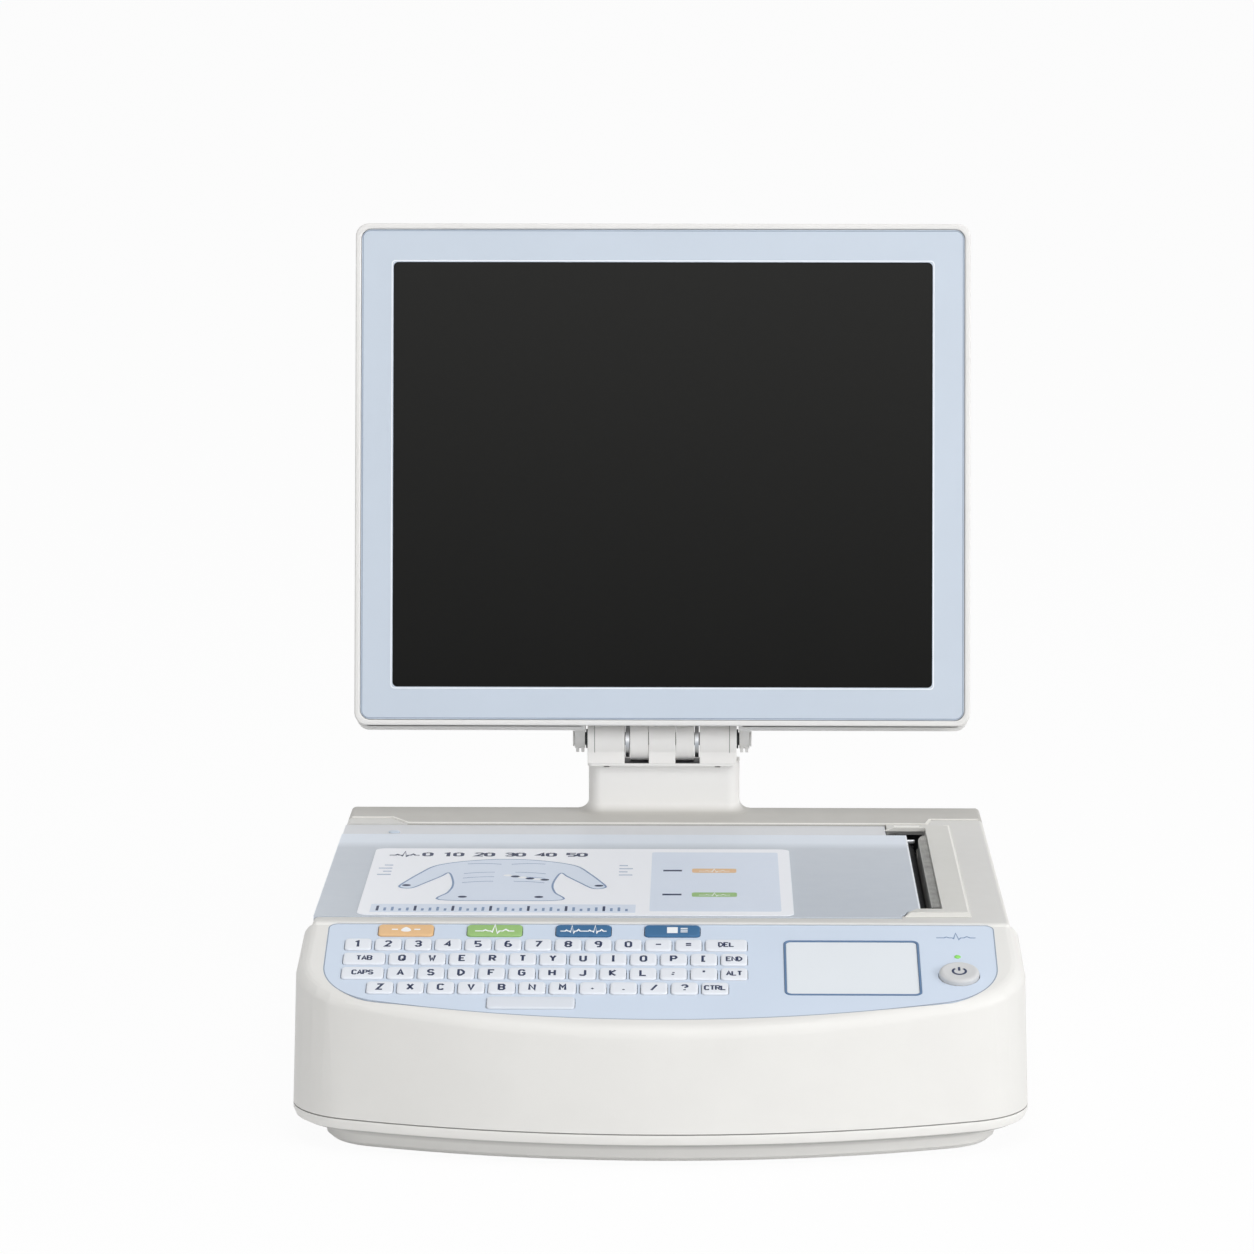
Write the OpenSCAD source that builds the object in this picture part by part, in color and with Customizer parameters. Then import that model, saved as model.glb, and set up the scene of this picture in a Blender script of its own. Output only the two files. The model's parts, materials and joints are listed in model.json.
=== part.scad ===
// Resting electrocardiograph with a tilting display, a sliding paper cover and
// a thermal writer. Millimetres, +Z up, +X to the operator's right, +Y to the
// rear. The origin is under the middle of the machine, on the table.

/* [Body] */
// Width of the body at the parting line
body_w = 410; // [400:1:430]
// How far each side of the deck leans in from the parting line
deck_in = 8.25; // [6:0.25:11]
// Depth of the body
body_depth = 457; // [450:1:480]
// Height of the deck above the table
deck_h = 113; // [111:1:125]
// Height of the parting line between base pan and housing
parting_h = 20; // [18:1:24]
// Radius of the bowed front in plan
bow_r = 480; // [440:10:800]
// Radius of the two front corners in plan
corner_r = 48; // [40:1:60]
// Wall thickness of the mouldings
wall = 3.2; // [2.6:0.1:3.6]
// Radius of the soft edge around the keyboard
shoulder_r = 9; // [6:0.5:11]
// Radius of the crisp edges of the deck
deck_edge_r = 3; // [1.5:0.5:4]
// Height of the plinth under the lip
plinth_h = 12; // [10:0.5:14]
// How far the plinth stands back from the lip
plinth_inset = 17.5; // [14:0.5:22]
// Height of the rubber feet that shows below the plinth
foot_gap = 1.2; // [0.8:0.1:3]
// Radius of a rubber foot
foot_r = 9; // [7:0.5:12]

/* [Keyboard] */
// Distance from the front edge back to the fold line of the deck
fold_back = 118; // [114:1:124]
// Slope of the keyboard in degrees
key_slope = 16.5; // [14:0.5:17]
// Width of the blue overlay
overlay_w = 373.6; // [368:0.2:378]
// Length of the overlay down the slope
overlay_len = 107; // [104:1:110]
// Thickness of the overlay
overlay_t = 2; // [1.5:0.1:2.4]
// Width of a character key
key_w = 14.8; // [13:0.1:15.2]
// Depth of a character key
key_d = 13; // [11:0.1:13.6]
// Pitch of the keys along a row
key_pitch = 16.8; // [16.6:0.1:17]
// Pitch of the rows
row_pitch = 16.3; // [16:0.1:16.5]
// Travel of the keys
key_travel = 1; // [0.6:0.1:1.2]
// Width of a coloured function key
function_w = 31; // [26:0.5:34]
// Width of the space bar
space_w = 48.4; // [40:0.2:60]
// Width of the trackpad with its frame
pad_w = 75.5; // [70:0.5:80]
// Length of the trackpad with its frame
pad_len = 61.7; // [56:0.5:66]
// Radius of the power button
button_r = 11.2; // [9:0.2:12]

/* [Writer] */
// Distance from each end of the paper tray to its well
well_margin = 23.9; // [23:0.1:25]
// Length of the paper well, for sheets 297 mm long
well_len = 308; // [302:1:310]
// Depth of the paper well below its ledge
well_depth = 30; // [24:1:32]
// Travel of the sliding cover
cover_travel = 230; // [150:5:240]
// Radius of the platen roller
roller_r = 8; // [7:0.1:8.2]
// Distance from each end of the writer to the platen roller
roller_margin = 8.5; // [7.5:0.1:10]
// Radius of the roller's shaft
roller_shaft_r = 3; // [2.5:0.1:3.2]
// Thickness of the print head's heat sink
head_t = 5.6; // [4.6:0.1:5.8]
// Height of the raised frame around the paper slot
writer_rise = 2.5; // [1.5:0.1:3.5]
// Tooth size of the gears
gear_module = 0.8; // [0.7:0.05:0.8]
// Thickness of the gears
gear_t = 5; // [3:0.5:5.5]
// Side of the stepper motor's square body
motor_side = 28; // [26:0.5:29]
// Length of the stepper motor's body
motor_len = 32; // [26:1:40]

/* [Display] */
// Width of the display
display_w = 380.4; // [370:1:390]
// Height of the display's front frame
display_h = 310.7; // [300:0.1:320]
// Depth of the display
display_t = 42; // [38:1:46]
// Lean of the display at rest, back from upright, in degrees
display_lean = 10; // [0:1:20]
// Width of the screen
screen_w = 333.6; // [320:1:345]
// Height of the screen
screen_h = 263; // [250:1:272]
// Width of the white rim around the face plate
rim_w = 3.5; // [2.6:0.1:5]
// Radius of the display's corners
display_corner_r = 8; // [6:0.5:12]
// Height of the hinge axis above the table
hinge_h = 159; // [157:1:170]
// Distance of the hinge axis in front of the body's rear face
hinge_in = 14.5; // [14:0.5:18]
// Radius of the hinge drum
drum_r = 13.4; // [12:0.1:14.5]
// Width of the hinge drum
drum_w = 92.6; // [88:0.2:93]
// Radius of the hinge shaft
shaft_r = 4; // [3:0.1:5]
// Width of the neck
neck_w = 94; // [93.4:0.2:94.4]

/* [Hidden] */

$fn = 48;
eps = 0.01;
// Gap between covers that meet, and around a piece that slides in another
seam = 0.4;
// Gap between a piece and the seat that it is set on from the side
slack = 0.2;
// Radial clearance of a shaft in its bore
running = 0.05;
// Facets of the round children of a hull
soft_fn = 32;
// Facets of a full circle of the bowed front inside a hull
bow_fn = 180;

// ---- places that several pieces share ----
display_over = 47.2;  // how far the leaning display reaches behind the body
front_y = -(body_depth + display_over) / 2;
function back(d) = front_y + d;
rear_y = back(body_depth);
half_body = body_w / 2;
half_deck = half_body - deck_in;
deck_under = deck_h - wall;

// Limits of the sliding cover and of the writer; distances are from the front edge
cover_front = fold_back + 9;
cover_rear = body_depth - 57.4;
cover_step = cover_rear - 32.6;     // the raised panel ends here
slot_front = cover_front + 16;
slot_rear = cover_rear - 20;
leg_front = slot_front - 12.5;
leg_back = slot_rear + 7.5;
slot_right = half_deck - 37.25;     // x of the right edge of the paper slot
leg_left = slot_right - 24.5;       // x where the legs of the writer cover start
writer_right = half_deck - 21.25;
cover_top = deck_h + 0.6;
cover_t = 4.4;
strip_top = deck_h - 0.8;
strip_t = 4;
cover_right = slot_right - 12;
panel_right_end = leg_left + 1;     // the panel is cut back here beside both legs
cover_left = -half_deck;
cover_under = cover_top - cover_t;
tray_top = strip_top - strip_t - 0.6;
tray_left = cover_left + 7.75;
tray_right = slot_right - 26.5;
tray_wall = 2.4;
ledge_h = deck_h - 23;              // top of the ledge that the roller passes over
tray_floor = ledge_h - well_depth;
rail_w = 12;                        // thick walls that hold the cover's grooves
groove_w = 3.8;
groove_foot = 6.8;
rib_w = groove_w - 2 * slack;
rib_foot = groove_foot - 2 * slack;
groove_top = tray_top - 5.4;
groove_floor = groove_top - 2.8;
tray_front = cover_front + 0.6;
tray_rear = cover_rear - 0.2;

panel_soft = 3;                     // rounding of the raised panel's rear edge
skirt_t = 2.6;
skirt_h = 9;
skirt_low = cover_under - skirt_h;

// Roller, head and gears
roller_x = slot_right - 14;
roller_z = deck_h - 13.5;
writer_front = cover_front + 21.5;   // the writer's frame lies between these
writer_rear = cover_rear - 20.1;
roller_len = writer_rear - writer_front - 2 * roller_margin;
roller_mid = (writer_front + writer_rear) / 2 + 1.25;
head_x = roller_x + roller_r + 0.3;
gear_back = writer_rear + 0.5;      // front face of the gears
roller_teeth = 18;
idler_teeth = 30;
pinion_teeth = 12;
idler_dir = -35;                    // direction of the idler from the roller
idler_gap = gear_module * (roller_teeth + idler_teeth) / 2 + 0.12;
idler_x = roller_x + idler_gap * cos(idler_dir);
idler_z = roller_z + idler_gap * sin(idler_dir);
pinion_gap = gear_module * (idler_teeth + pinion_teeth) / 2 + 0.12;
pinion_x = idler_x;
pinion_z = idler_z - pinion_gap;
stud_r = 2;
plate_t = 1.5;                      // sheet of the writer's frame
frame_floor = pinion_z - motor_side / 2 - 8;
frame_front = writer_front;
frame_rear = writer_rear;

// Hinge, in the frame of the display: y back through it, z up along it
hinge_x = -1.9;                     // the display stands a little left of the middle
neck_x = hinge_x + 1.2;
hinge_y = rear_y - hinge_in;
face_y = -30.8;
display_low = 8;
display_rim_d = 12.8;               // depth of the front frame
back_y = face_y + display_t;
lip_drop = 2.9;
knuckle_in = 8.6;
knuckle_out = 20;
arm_in = 20.3;
arm_t = 2.5;
drum_in = 23.3;
upright_x = 33;
upright_t = 3;
notch_half = drum_w / 2 + 1.3;
notch_top = drum_r + 3.5;
ear_in = notch_half + seam;
ear_t = 6.4;
ear_r = 6;
chassis_y = -8;
neck_front = -7.2;                   // from the hinge axis
neck_rear = 12.5;
neck_top = hinge_h - drum_r - 0.3;
lip_t = 1.6;
lip_front = -11.3;

// ---- 2D outlines ----

// Outline with a bowed front, round front corners and small rear corners
module bowed_plan(half_w, front, rear, bow, corner, rear_corner) {
    corner_x = half_w - corner;
    corner_y = front + bow - sqrt(pow(bow - corner, 2) - corner_x * corner_x);
    tangent_x = corner_x * bow / (bow - corner);
    intersection() {
        translate([0, front + bow]) circle(bow);
        translate([-tangent_x, front]) square([2 * tangent_x, rear - front]);
    }
    for (side = [-1, 1]) {
        translate([side * corner_x, corner_y]) circle(corner);
        translate([side * (half_w - rear_corner), rear - rear_corner]) circle(rear_corner);
    }
    translate([-half_w, corner_y]) square([2 * half_w, rear - rear_corner - corner_y]);
    translate([-half_w + rear_corner, corner_y])
        square([2 * (half_w - rear_corner), rear - corner_y]);
}

// The body's outline at the parting line, drawn in by an inset
module body_plan(inset = 0)
    bowed_plan(half_body - inset, back(inset), rear_y - inset, bow_r - inset,
               corner_r - inset, 12 - min(inset, 8));

module plinth_plan(inset = 0)
    bowed_plan(half_body - plinth_inset - inset, back(plinth_inset - 6 + inset),
               rear_y - plinth_inset + 6 - inset, bow_r - plinth_inset - inset,
               corner_r - 10 - inset, 20 - inset);

module round_rect(w, d, r) {
    for (sx = [-1, 1], sy = [-1, 1])
        translate([sx * (w / 2 - r), sy * (d / 2 - r)]) circle(r);
    square([w - 2 * r, d], center = true);
    square([w, d - 2 * r], center = true);
}

// A thin slab of an outline at a height, as one layer of a hull
module layer(z, t = eps) translate([0, 0, z]) linear_extrude(t) children();

// ---- placing helpers ----

// Children drawn on the keyboard: x to the right, y up the slope, z off it
module on_keyboard()
    translate([0, back(fold_back), deck_h - 1]) rotate([key_slope, 0, 0]) children();

// Children drawn in the display's own frame, leaning as it rests
module on_display()
    translate([hinge_x, hinge_y, hinge_h]) rotate([-display_lean, 0, 0]) children();

// A cylinder along X
module rod_x(r, x0, x1) translate([x0, 0, 0]) rotate([0, 90, 0]) cylinder(r = r, h = x1 - x0);

// A cylinder along Y
module rod_y(r, y0, y1) translate([0, y0, 0]) rotate([-90, 0, 0]) cylinder(r = r, h = y1 - y0);

// A box between two corners
module block(low, high) translate(low) cube(high - low);

// A shape repeated at its mirror image across the middle plane
module both_sides() {
    children();
    mirror([1, 0, 0]) children();
}

// ---- the body's outer form ----

// Height of the keyboard's plane at a distance from the front
function slope_z(d) = deck_h - 1 - (fold_back - d) * tan(key_slope);

// Points along the shoulder around the keyboard, [x, distance from front]
shoulder_in = shoulder_r + 2;
shoulder_bow = bow_r - shoulder_in;
shoulder_corner = corner_r - shoulder_in;
shoulder_x = half_body - corner_r;
shoulder_d = bow_r - sqrt(pow(bow_r - corner_r, 2) - shoulder_x * shoulder_x);
bow_half_angle = asin(shoulder_x / (bow_r - corner_r));
bow_steps = 12;
corner_steps = 5;
bow_path = [for (i = [-bow_steps : bow_steps])
    let (a = bow_half_angle * i / bow_steps)
    [shoulder_bow * sin(a), bow_r - shoulder_bow * cos(a)]];
corner_path = [for (i = [1 : corner_steps])
    let (a = bow_half_angle + (90 - bow_half_angle) * i / corner_steps)
    [shoulder_x + shoulder_corner * sin(a), shoulder_d - shoulder_corner * cos(a)]];
side_draft = 1.4;
end_path = [[half_body - shoulder_in - side_draft, fold_back]];
half_path = concat(corner_path, end_path);
shoulder_path = concat(bow_path, half_path, [for (p = half_path) [-p.x, p.y]]);

// Wide front part: from the parting line up to the sloping keyboard
module front_form(inset) hull() {
    layer(parting_h - (inset > 0 ? 1 : 0)) body_plan(inset, $fn = bow_fn);
    for (p = shoulder_path)
        translate([p.x, back(p.y), slope_z(p.y) - shoulder_r / cos(key_slope)])
            sphere(shoulder_r - inset, $fn = soft_fn);
}

// Rear part: straight sides up to the flat deck
module rear_form(inset) hull() {
    layer(parting_h - (inset > 0 ? 1 : 0)) intersection() {
        body_plan(inset, $fn = soft_fn);
        translate([-half_body, back(shoulder_d)]) square([body_w, body_depth]);
    }
    for (sx = [-1, 1], d = [fold_back, body_depth - deck_edge_r - inset])
        translate([sx * (half_deck - deck_edge_r - inset), back(d),
                   deck_h - deck_edge_r - inset])
            sphere(deck_edge_r, $fn = soft_fn);
}

module body_form(inset) {
    front_form(inset);
    rear_form(inset);
}

// Plan of the separate rear deck, stepped at both ends
deck_joint = cover_rear + 1;
deck_end_left = deck_joint + 17;
deck_end_right = deck_joint + 14.4;
step_left = -half_deck + 38.2;
step_right = slot_right + 1.5;
step_run = 10;
module rear_deck_plan(grow = 0) polygon([
    [-half_body, rear_y + 1], [-half_body, back(deck_end_left) - grow],
    [step_left - step_run, back(deck_end_left) - grow],
    [step_left, back(deck_joint) - grow], [step_right, back(deck_joint) - grow],
    [step_right + 3, back(deck_end_right) - grow],
    [half_body, back(deck_end_right) - grow], [half_body, rear_y + 1]]);

// ---- base ----

screw_r = 2;
screw_head_r = 3.8;
screw_x = half_body - 29;
screw_places = [for (sx = [-1, 1], d = [fold_back - 26, (fold_back + body_depth) / 2 - 25.5,
    body_depth - 25]) [sx * screw_x, back(d)]];
pan_floor = foot_gap + 3.2;
groove_h = 0.7;
boss_r = 6;
boss_h = 24;
screw_seat = plinth_h + 2;
foot_places = [for (sx = [-1, 1], d = [62, body_depth - 52]) [sx * (half_body - 55), back(d)]];
foot_sink = 1.6;
foot_stud_r = 2.5;

// Posts that carry the tray and the writer's frame
tray_posts = [for (x = [tray_left + 19, tray_right - 21], d = [tray_front + 47.4, tray_rear - 49.4])
    [x, back(d)]];
frame_posts = [for (d = [writer_front + 21.5, writer_rear - 34.5]) [slot_right + 8.5, back(d)]];
post_r = 5;

module base_pan() color("gainsboro") difference() {
    union() {
        difference() {
            union() {
                hull() {
                    layer(parting_h - 3, 3 - groove_h) body_plan($fn = bow_fn);
                    layer(plinth_h + 1.8) body_plan(1.4, $fn = bow_fn);
                    layer(plinth_h) body_plan(5, $fn = bow_fn);
                }
                hull() {
                    layer(plinth_h) plinth_plan($fn = bow_fn);
                    layer(foot_gap + 2.4) plinth_plan(1.2, $fn = bow_fn);
                    layer(foot_gap) plinth_plan(4, $fn = bow_fn);
                }
            }
            translate([0, 0, plinth_h + wall]) linear_extrude(parting_h) body_plan(wall + 1.2);
            translate([0, 0, pan_floor]) linear_extrude(parting_h) plinth_plan(5.4);
        }
        // the rim behind the groove along the parting line
        translate([0, 0, plinth_h + wall + 1]) linear_extrude(parting_h - plinth_h - wall - 1) difference() {
            body_plan(0.9);
            body_plan(wall + 1.2);
        }
        for (p = screw_places)
            translate([p.x, p.y, pan_floor - eps]) cylinder(r = boss_r, h = parting_h - pan_floor);
        for (p = tray_posts)
            translate([p.x, p.y, pan_floor - eps])
                cylinder(r = post_r, h = tray_floor - tray_wall - pan_floor + eps);
        for (p = frame_posts)
            translate([p.x, p.y, pan_floor - eps])
                cylinder(r = post_r, h = frame_floor - pan_floor + eps);
        both_sides() for (d = board_rows) translate([board_post_x, back(d), pan_floor - eps])
            cylinder(r = 3, h = board_z - pan_floor + eps);
    }
    for (p = screw_places) translate([p.x, p.y, 0]) {
        translate([0, 0, -eps]) cylinder(r = screw_head_r + 0.4, h = screw_seat);
        cylinder(r = screw_r + 0.2, h = parting_h + 1);
    }
    for (p = foot_places) translate([p.x, p.y, 0]) {
        translate([0, 0, -1]) cylinder(r = foot_r + slack, h = foot_gap + foot_sink + 1);
        cylinder(r = foot_stud_r + slack, h = pan_floor + 1);
    }
}

module rubber_feet() color("dimgray") for (p = foot_places) translate([p.x, p.y, 0]) {
    cylinder(r = foot_r, h = foot_gap + foot_sink);
    cylinder(r = foot_stud_r, h = pan_floor + 2);
}

module base_screws() color("silver") for (p = screw_places) translate([p.x, p.y, 0]) {
    translate([0, 0, screw_seat - 3]) difference() {
        cylinder(r = screw_head_r, h = 3 - eps);
        translate([0, 0, -eps]) cylinder(r = 1.9, h = 1.6, $fn = 6);
    }
    translate([0, 0, screw_seat - 1]) cylinder(r = screw_r, h = 19);
}

// ---- housing ----

key_board_t = 1.6;
key_mat_t = 1.3;
flange_t = 0.8;
key_under = -overlay_t - 0.1 - flange_t;
mat_top = key_under - key_travel - 0.2;
board_top = mat_top - key_mat_t;
window_in = 5;

module overlay_plan(inset = 0)
    bowed_plan(overlay_w / 2 - inset, -overlay_len - 2 + inset, -2 - inset / 8, 640 - inset,
               40 - inset, 5);

// Window under the overlay, widened where the lowest keys near its edge
module keyboard_window() {
    overlay_plan(window_in);
    translate([rows[3][0][0], -row_1 - 3 * row_pitch]) square([key_w + 3, key_d + 3], center = true);
    translate([space_x, -space_row]) square([space_w + 3, key_d + 3], center = true);
}

module housing_openings() {
    // the recess of the sliding cover, open to the left, and of its skirt
    block([-half_body, back(cover_front) - slack, strip_top - strip_t - seam],
          [leg_left + 1.4, back(deck_joint), deck_h + 2]);
    block([-half_body - 1, back(cover_front) - slack, min(skirt_low, groove_floor) - seam],
          [tray_left, back(deck_joint), deck_h + 2]);
    block([tray_left - 0.6, back(tray_front - 0.4), parting_h],
          [tray_right + 0.6, back(tray_rear + 0.6), deck_h + 2]);
    // the paper slot between the legs of the writer cover
    block([tray_right - 1, back(leg_front + 3), deck_under - 4],
          [slot_right, back(leg_back - 1.5), deck_h + 2]);
    // the slot of the wall behind the print head
    block([spring_wall - slack, back(spring_wall_front) - slack, deck_under - 1],
          [spring_wall + spring_wall_t + slack, back(spring_wall_rear) + slack, deck_h + 1]);
    // the seat of the rear deck
    translate([0, 0, deck_under - slack]) linear_extrude(wall + 2) rear_deck_plan(seam);
    // the seat and the window of the keyboard
    on_keyboard() {
        translate([0, 0, -overlay_t]) linear_extrude(overlay_t + 3) overlay_plan(-slack);
        translate([0, 0, board_top]) linear_extrude(20) keyboard_window();
    }
    // the opening of the rear panel
    block([panel_left, rear_y - 12, panel_low], [panel_right, rear_y + 1, panel_high]);
    // the latch at the left
    block([-half_body, back(latch_back - latch_w / 2 - slack), latch_low - slack],
          [tray_left, back(latch_back + latch_w / 2 + slack), cover_under]);
}

module top_housing() color("whitesmoke") difference() {
    union() {
        difference() {
            body_form(0);
            body_form(wall);
        }
        intersection() {
            body_form(wall / 2);
            union() {
                // cross wall under the front edge of the rear deck
                block([-half_body, back(deck_joint), ledge_h],
                      [half_body, back(deck_joint + 4), deck_under - slack]);
                // frame that the keyboard's board is screwed to
                on_keyboard() translate([0, 0, board_top]) linear_extrude(-board_top - 1)
                    difference() {
                        overlay_plan(window_in - 4);
                        keyboard_window();
                    }
                for (p = screw_places) translate([p.x, p.y, parting_h]) {
                    cylinder(r = boss_r - 1, h = boss_h);
                    translate([p.x > 0 ? 0 : p.x - half_body, -wall / 2, 3])
                        cube([half_body, wall, boss_h - 3]);
                }
                // shelf under the latch's spring
                block([-half_body, back(latch_back - latch_w / 2 - 3), latch_low - slack - wall],
                      [tray_left - 0.8, back(latch_back + latch_w / 2 + 3), latch_low - slack]);
            }
        }
    }
    housing_openings();
    for (p = screw_places) translate([p.x, p.y, parting_h - 1])
        cylinder(r = screw_r + 0.05, h = 22);
}

module rear_deck() color("gainsboro") difference() {
    union() {
        intersection() {
            rear_form(0);
            translate([0, 0, deck_under]) linear_extrude(wall + 1) rear_deck_plan();
        }
        neck_solid();
    }
    // the neck is hollow and lets the hinge bracket and the cables through
    block([neck_x - neck_w / 2 + 3, hinge_y + neck_front + 3, deck_under - 1],
          [neck_x + neck_w / 2 - 3, hinge_y + neck_rear - 3, neck_top - 2.4]);
    for (sx = [-1, 1])
        translate([hinge_x + sx * (upright_x + upright_t / 2), 0, 0])
            block([-upright_t / 2 - slack, hinge_y - 8.2, neck_top - 3],
                  [upright_t / 2 + slack, hinge_y + 8.2, hinge_h]);
}

// Neck with a concave foot at its front and sides, and a lip on top
neck_corner_r = 8;
flare_r = 6.5;
module neck_solid() {
    neck_d = neck_rear - neck_front;
    translate([neck_x, hinge_y + neck_front, deck_h - 1]) {
        linear_extrude(neck_top - deck_h + 1) neck_plan(neck_w / 2, neck_corner_r, neck_d);
        translate([0, 0, 1]) {
            both_sides() translate([neck_w / 2 - neck_corner_r, neck_corner_r, 0]) {
                rotate([0, 0, -90]) rotate_extrude(angle = 90) flare_profile();
                translate([0, neck_d - neck_corner_r, 0]) rotate([90, 0, 0])
                    linear_extrude(neck_d - neck_corner_r) flare_profile();
            }
            translate([-neck_w / 2 + neck_corner_r, neck_corner_r, 0]) rotate([90, 0, 90])
                linear_extrude(neck_w - 2 * neck_corner_r) mirror([1, 0]) flare_profile();
        }
    }
    translate([hinge_x, hinge_y + lip_front, neck_top - lip_t]) linear_extrude(lip_t)
        neck_plan(drum_w / 2, 3, neck_rear - lip_front);
}

module neck_plan(half_w, r, d) {
    both_sides() translate([half_w - r, r]) circle(r);
    translate([-half_w, r]) square([2 * half_w, d - r]);
    translate([-half_w + r, 0]) square([2 * (half_w - r), r + eps]);
}

module flare_profile() difference() {
    translate([neck_corner_r - 1, -0.5]) square([flare_r + 1, flare_r + 0.5]);
    translate([neck_corner_r + flare_r, flare_r]) circle(flare_r);
    translate([neck_corner_r + flare_r, -1]) square([flare_r, 1]);
}

// ---- rear panel and its connectors ----

panel_left = -150;
panel_right = 150;
panel_low = 30;
panel_high = 74;
panel_t = 2;
inlet_x = -115;
inlet_z = 52;
lug_x = -72;
port_z = 52;
port_xs = [[6, 15.4, 12.6], [32, 13.4, 6], [54, 13.4, 6], [78, 14, 12.6]];
patient_x = 118;
patient_r = 9;

module rear_panel() color("darkgray") difference() {
    union() {
        block([panel_left + seam, rear_y - wall, panel_low + seam],
              [panel_right - seam, rear_y - wall + panel_t, panel_high - seam]);
        // flange behind the wall
        block([panel_left - 6, rear_y - wall - panel_t, panel_low - 5],
              [panel_right + 6, rear_y - wall - slack / 2, panel_high + 5]);
    }
    translate([inlet_x, rear_y, inlet_z]) cube([27.6, 20, 20.2], center = true);
    translate([lug_x, rear_y, inlet_z]) rod_y(4.1, -10, 5);
    for (p = port_xs) translate([p[0], rear_y, port_z]) cube([p[1] + 0.6, 20, p[2] + 0.6], center = true);
    translate([patient_x, rear_y, port_z]) rod_y(patient_r + 0.2, -10, 5);
}

module mains_inlet() color("dimgray") difference() {
    translate([inlet_x, rear_y - wall, inlet_z]) union() {
        translate([0, 0.6, 0]) cube([27.2, 4, 19.8], center = true);
        translate([0, -13.6, 0]) cube([27.2, 24.4, 19.8], center = true);
        translate([0, -panel_t - 1, 0]) cube([34, 2, 26], center = true);
    }
    translate([inlet_x, rear_y - 10, inlet_z]) cube([22.4, 25, 13.6], center = true);
}

module inlet_pins() color("silver") for (p = [[-7, -2], [0, 2], [7, -2]])
    translate([inlet_x + p.x, rear_y - 24, inlet_z + p.y]) cube([2, 16, 4], center = true);

// Potential equalisation pin
module ground_lug() color("gold") translate([lug_x, rear_y - wall, inlet_z]) {
    rod_y(4, -panel_t - 1, panel_t);
    rod_y(3, panel_t - eps, panel_t + 9);
    rod_y(6, -panel_t - 4, -panel_t);
}

module data_ports() color("silver") {
    for (p = port_xs) difference() {
        translate([p[0] - p[1] / 2, rear_y - wall - 16, port_z - p[2] / 2])
            cube([p[1], 16 + panel_t + 0.4, p[2]]);
        translate([p[0] - p[1] / 2 + 0.8, rear_y - wall - 12, port_z - p[2] / 2 + 0.8])
            cube([p[1] - 1.6, 16, p[2] - 1.6]);
    }
    // small board that they are soldered to
    block([port_xs[0][0] - 12, rear_y - wall - 40, port_z - 9.6],
          [port_xs[3][0] + 12, rear_y - wall - panel_t - 1, port_z - 8]);
    for (p = port_xs)
        translate([p[0] - p[1] / 2, rear_y - wall - 15, port_z - 8 - eps])
            cube([p[1], 11, 8 - p[2] / 2 + 2 * eps]);
}

module patient_port() color("dimgray") translate([patient_x, rear_y - wall, port_z]) difference() {
    union() {
        rod_y(patient_r, -14, panel_t + 2);
        rod_y(patient_r + 3, -panel_t - 3, -panel_t);
    }
    rod_y(patient_r - 2, -8, panel_t + 3);
}

// ---- keyboard ----

key_r = 2.4;
key_rise = 1;
row_1 = 26.6;                       // middle of the first row, down the slope
left_keys = -176.6;                 // left end of the rows
wide_w = 23.4;
function_row = 10.1;
function_left = -158.7;
function_pitch = 49.9;

// Each row: [centre x, width] of its keys
function run(first, count, w) = [for (i = [0 : count - 1]) [first + w / 2 + i * key_pitch, w]];
wide_right = left_keys + 12 * key_pitch + wide_w / 2;
second_left = left_keys + wide_w + 2;
rows = [
    concat(run(left_keys, 12, key_w), [[wide_right, wide_w]]),
    concat([[left_keys + wide_w / 2, wide_w]], run(second_left, 12, key_w)),
    concat([[left_keys + wide_w / 2, wide_w]], run(second_left, 12, key_w)),
    run(left_keys + key_w, 12, key_w)];
space_x = -70.7;
space_row = row_1 + 4 * row_pitch;
function_xs = [for (i = [0 : 3]) function_left + function_w / 2 + i * function_pitch];

pad_x = 106.5;
pad_row = 50.9;
button_x = 165.4;
button_row = 59.5;
led_row = 38.1;
led_r = 1.8;

// One key: a pad through the overlay and a flange below it
module key(x, row, w) translate([x, -row, 0]) {
    translate([0, 0, key_under + flange_t - eps])
        linear_extrude(key_rise + overlay_t + 0.1 + eps) round_rect(w, key_d, key_r);
    translate([0, 0, key_under]) linear_extrude(flange_t) round_rect(w + 1.4, key_d + 1.4, key_r);
}

module key_hole(x, row, w) translate([x, -row]) round_rect(w + 0.7, key_d + 0.7, key_r + 0.35);

module keyboard_overlay() color("lightsteelblue") on_keyboard() translate([0, 0, -overlay_t])
    linear_extrude(overlay_t) difference() {
        overlay_plan();
        for (r = [0 : 3], k = rows[r]) key_hole(k[0], row_1 + r * row_pitch, k[1]);
        key_hole(space_x, space_row, space_w);
        for (x = function_xs) key_hole(x, function_row, function_w);
        translate([pad_x, -pad_row]) round_rect(pad_w + 0.3, pad_len + 0.3, 4);
        translate([button_x, -button_row]) circle(button_r + seam);
        translate([button_x, -led_row]) circle(led_r + running);
    }

module key_row(r) color("ghostwhite") on_keyboard()
    for (k = rows[r]) key(k[0], row_1 + r * row_pitch, k[1]);
module key_row_1() key_row(0);
module key_row_2() key_row(1);
module key_row_3() key_row(2);
module key_row_4() key_row(3);
module space_bar() color("ghostwhite") on_keyboard() key(space_x, space_row, space_w);

function_colors = ["sandybrown", "yellowgreen", "steelblue", "steelblue"];
module function_key(i) color(function_colors[i]) on_keyboard()
    key(function_xs[i], function_row, function_w);
module function_key_1() function_key(0);
module function_key_2() function_key(1);
module function_key_3() function_key(2);
module function_key_4() function_key(3);

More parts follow.
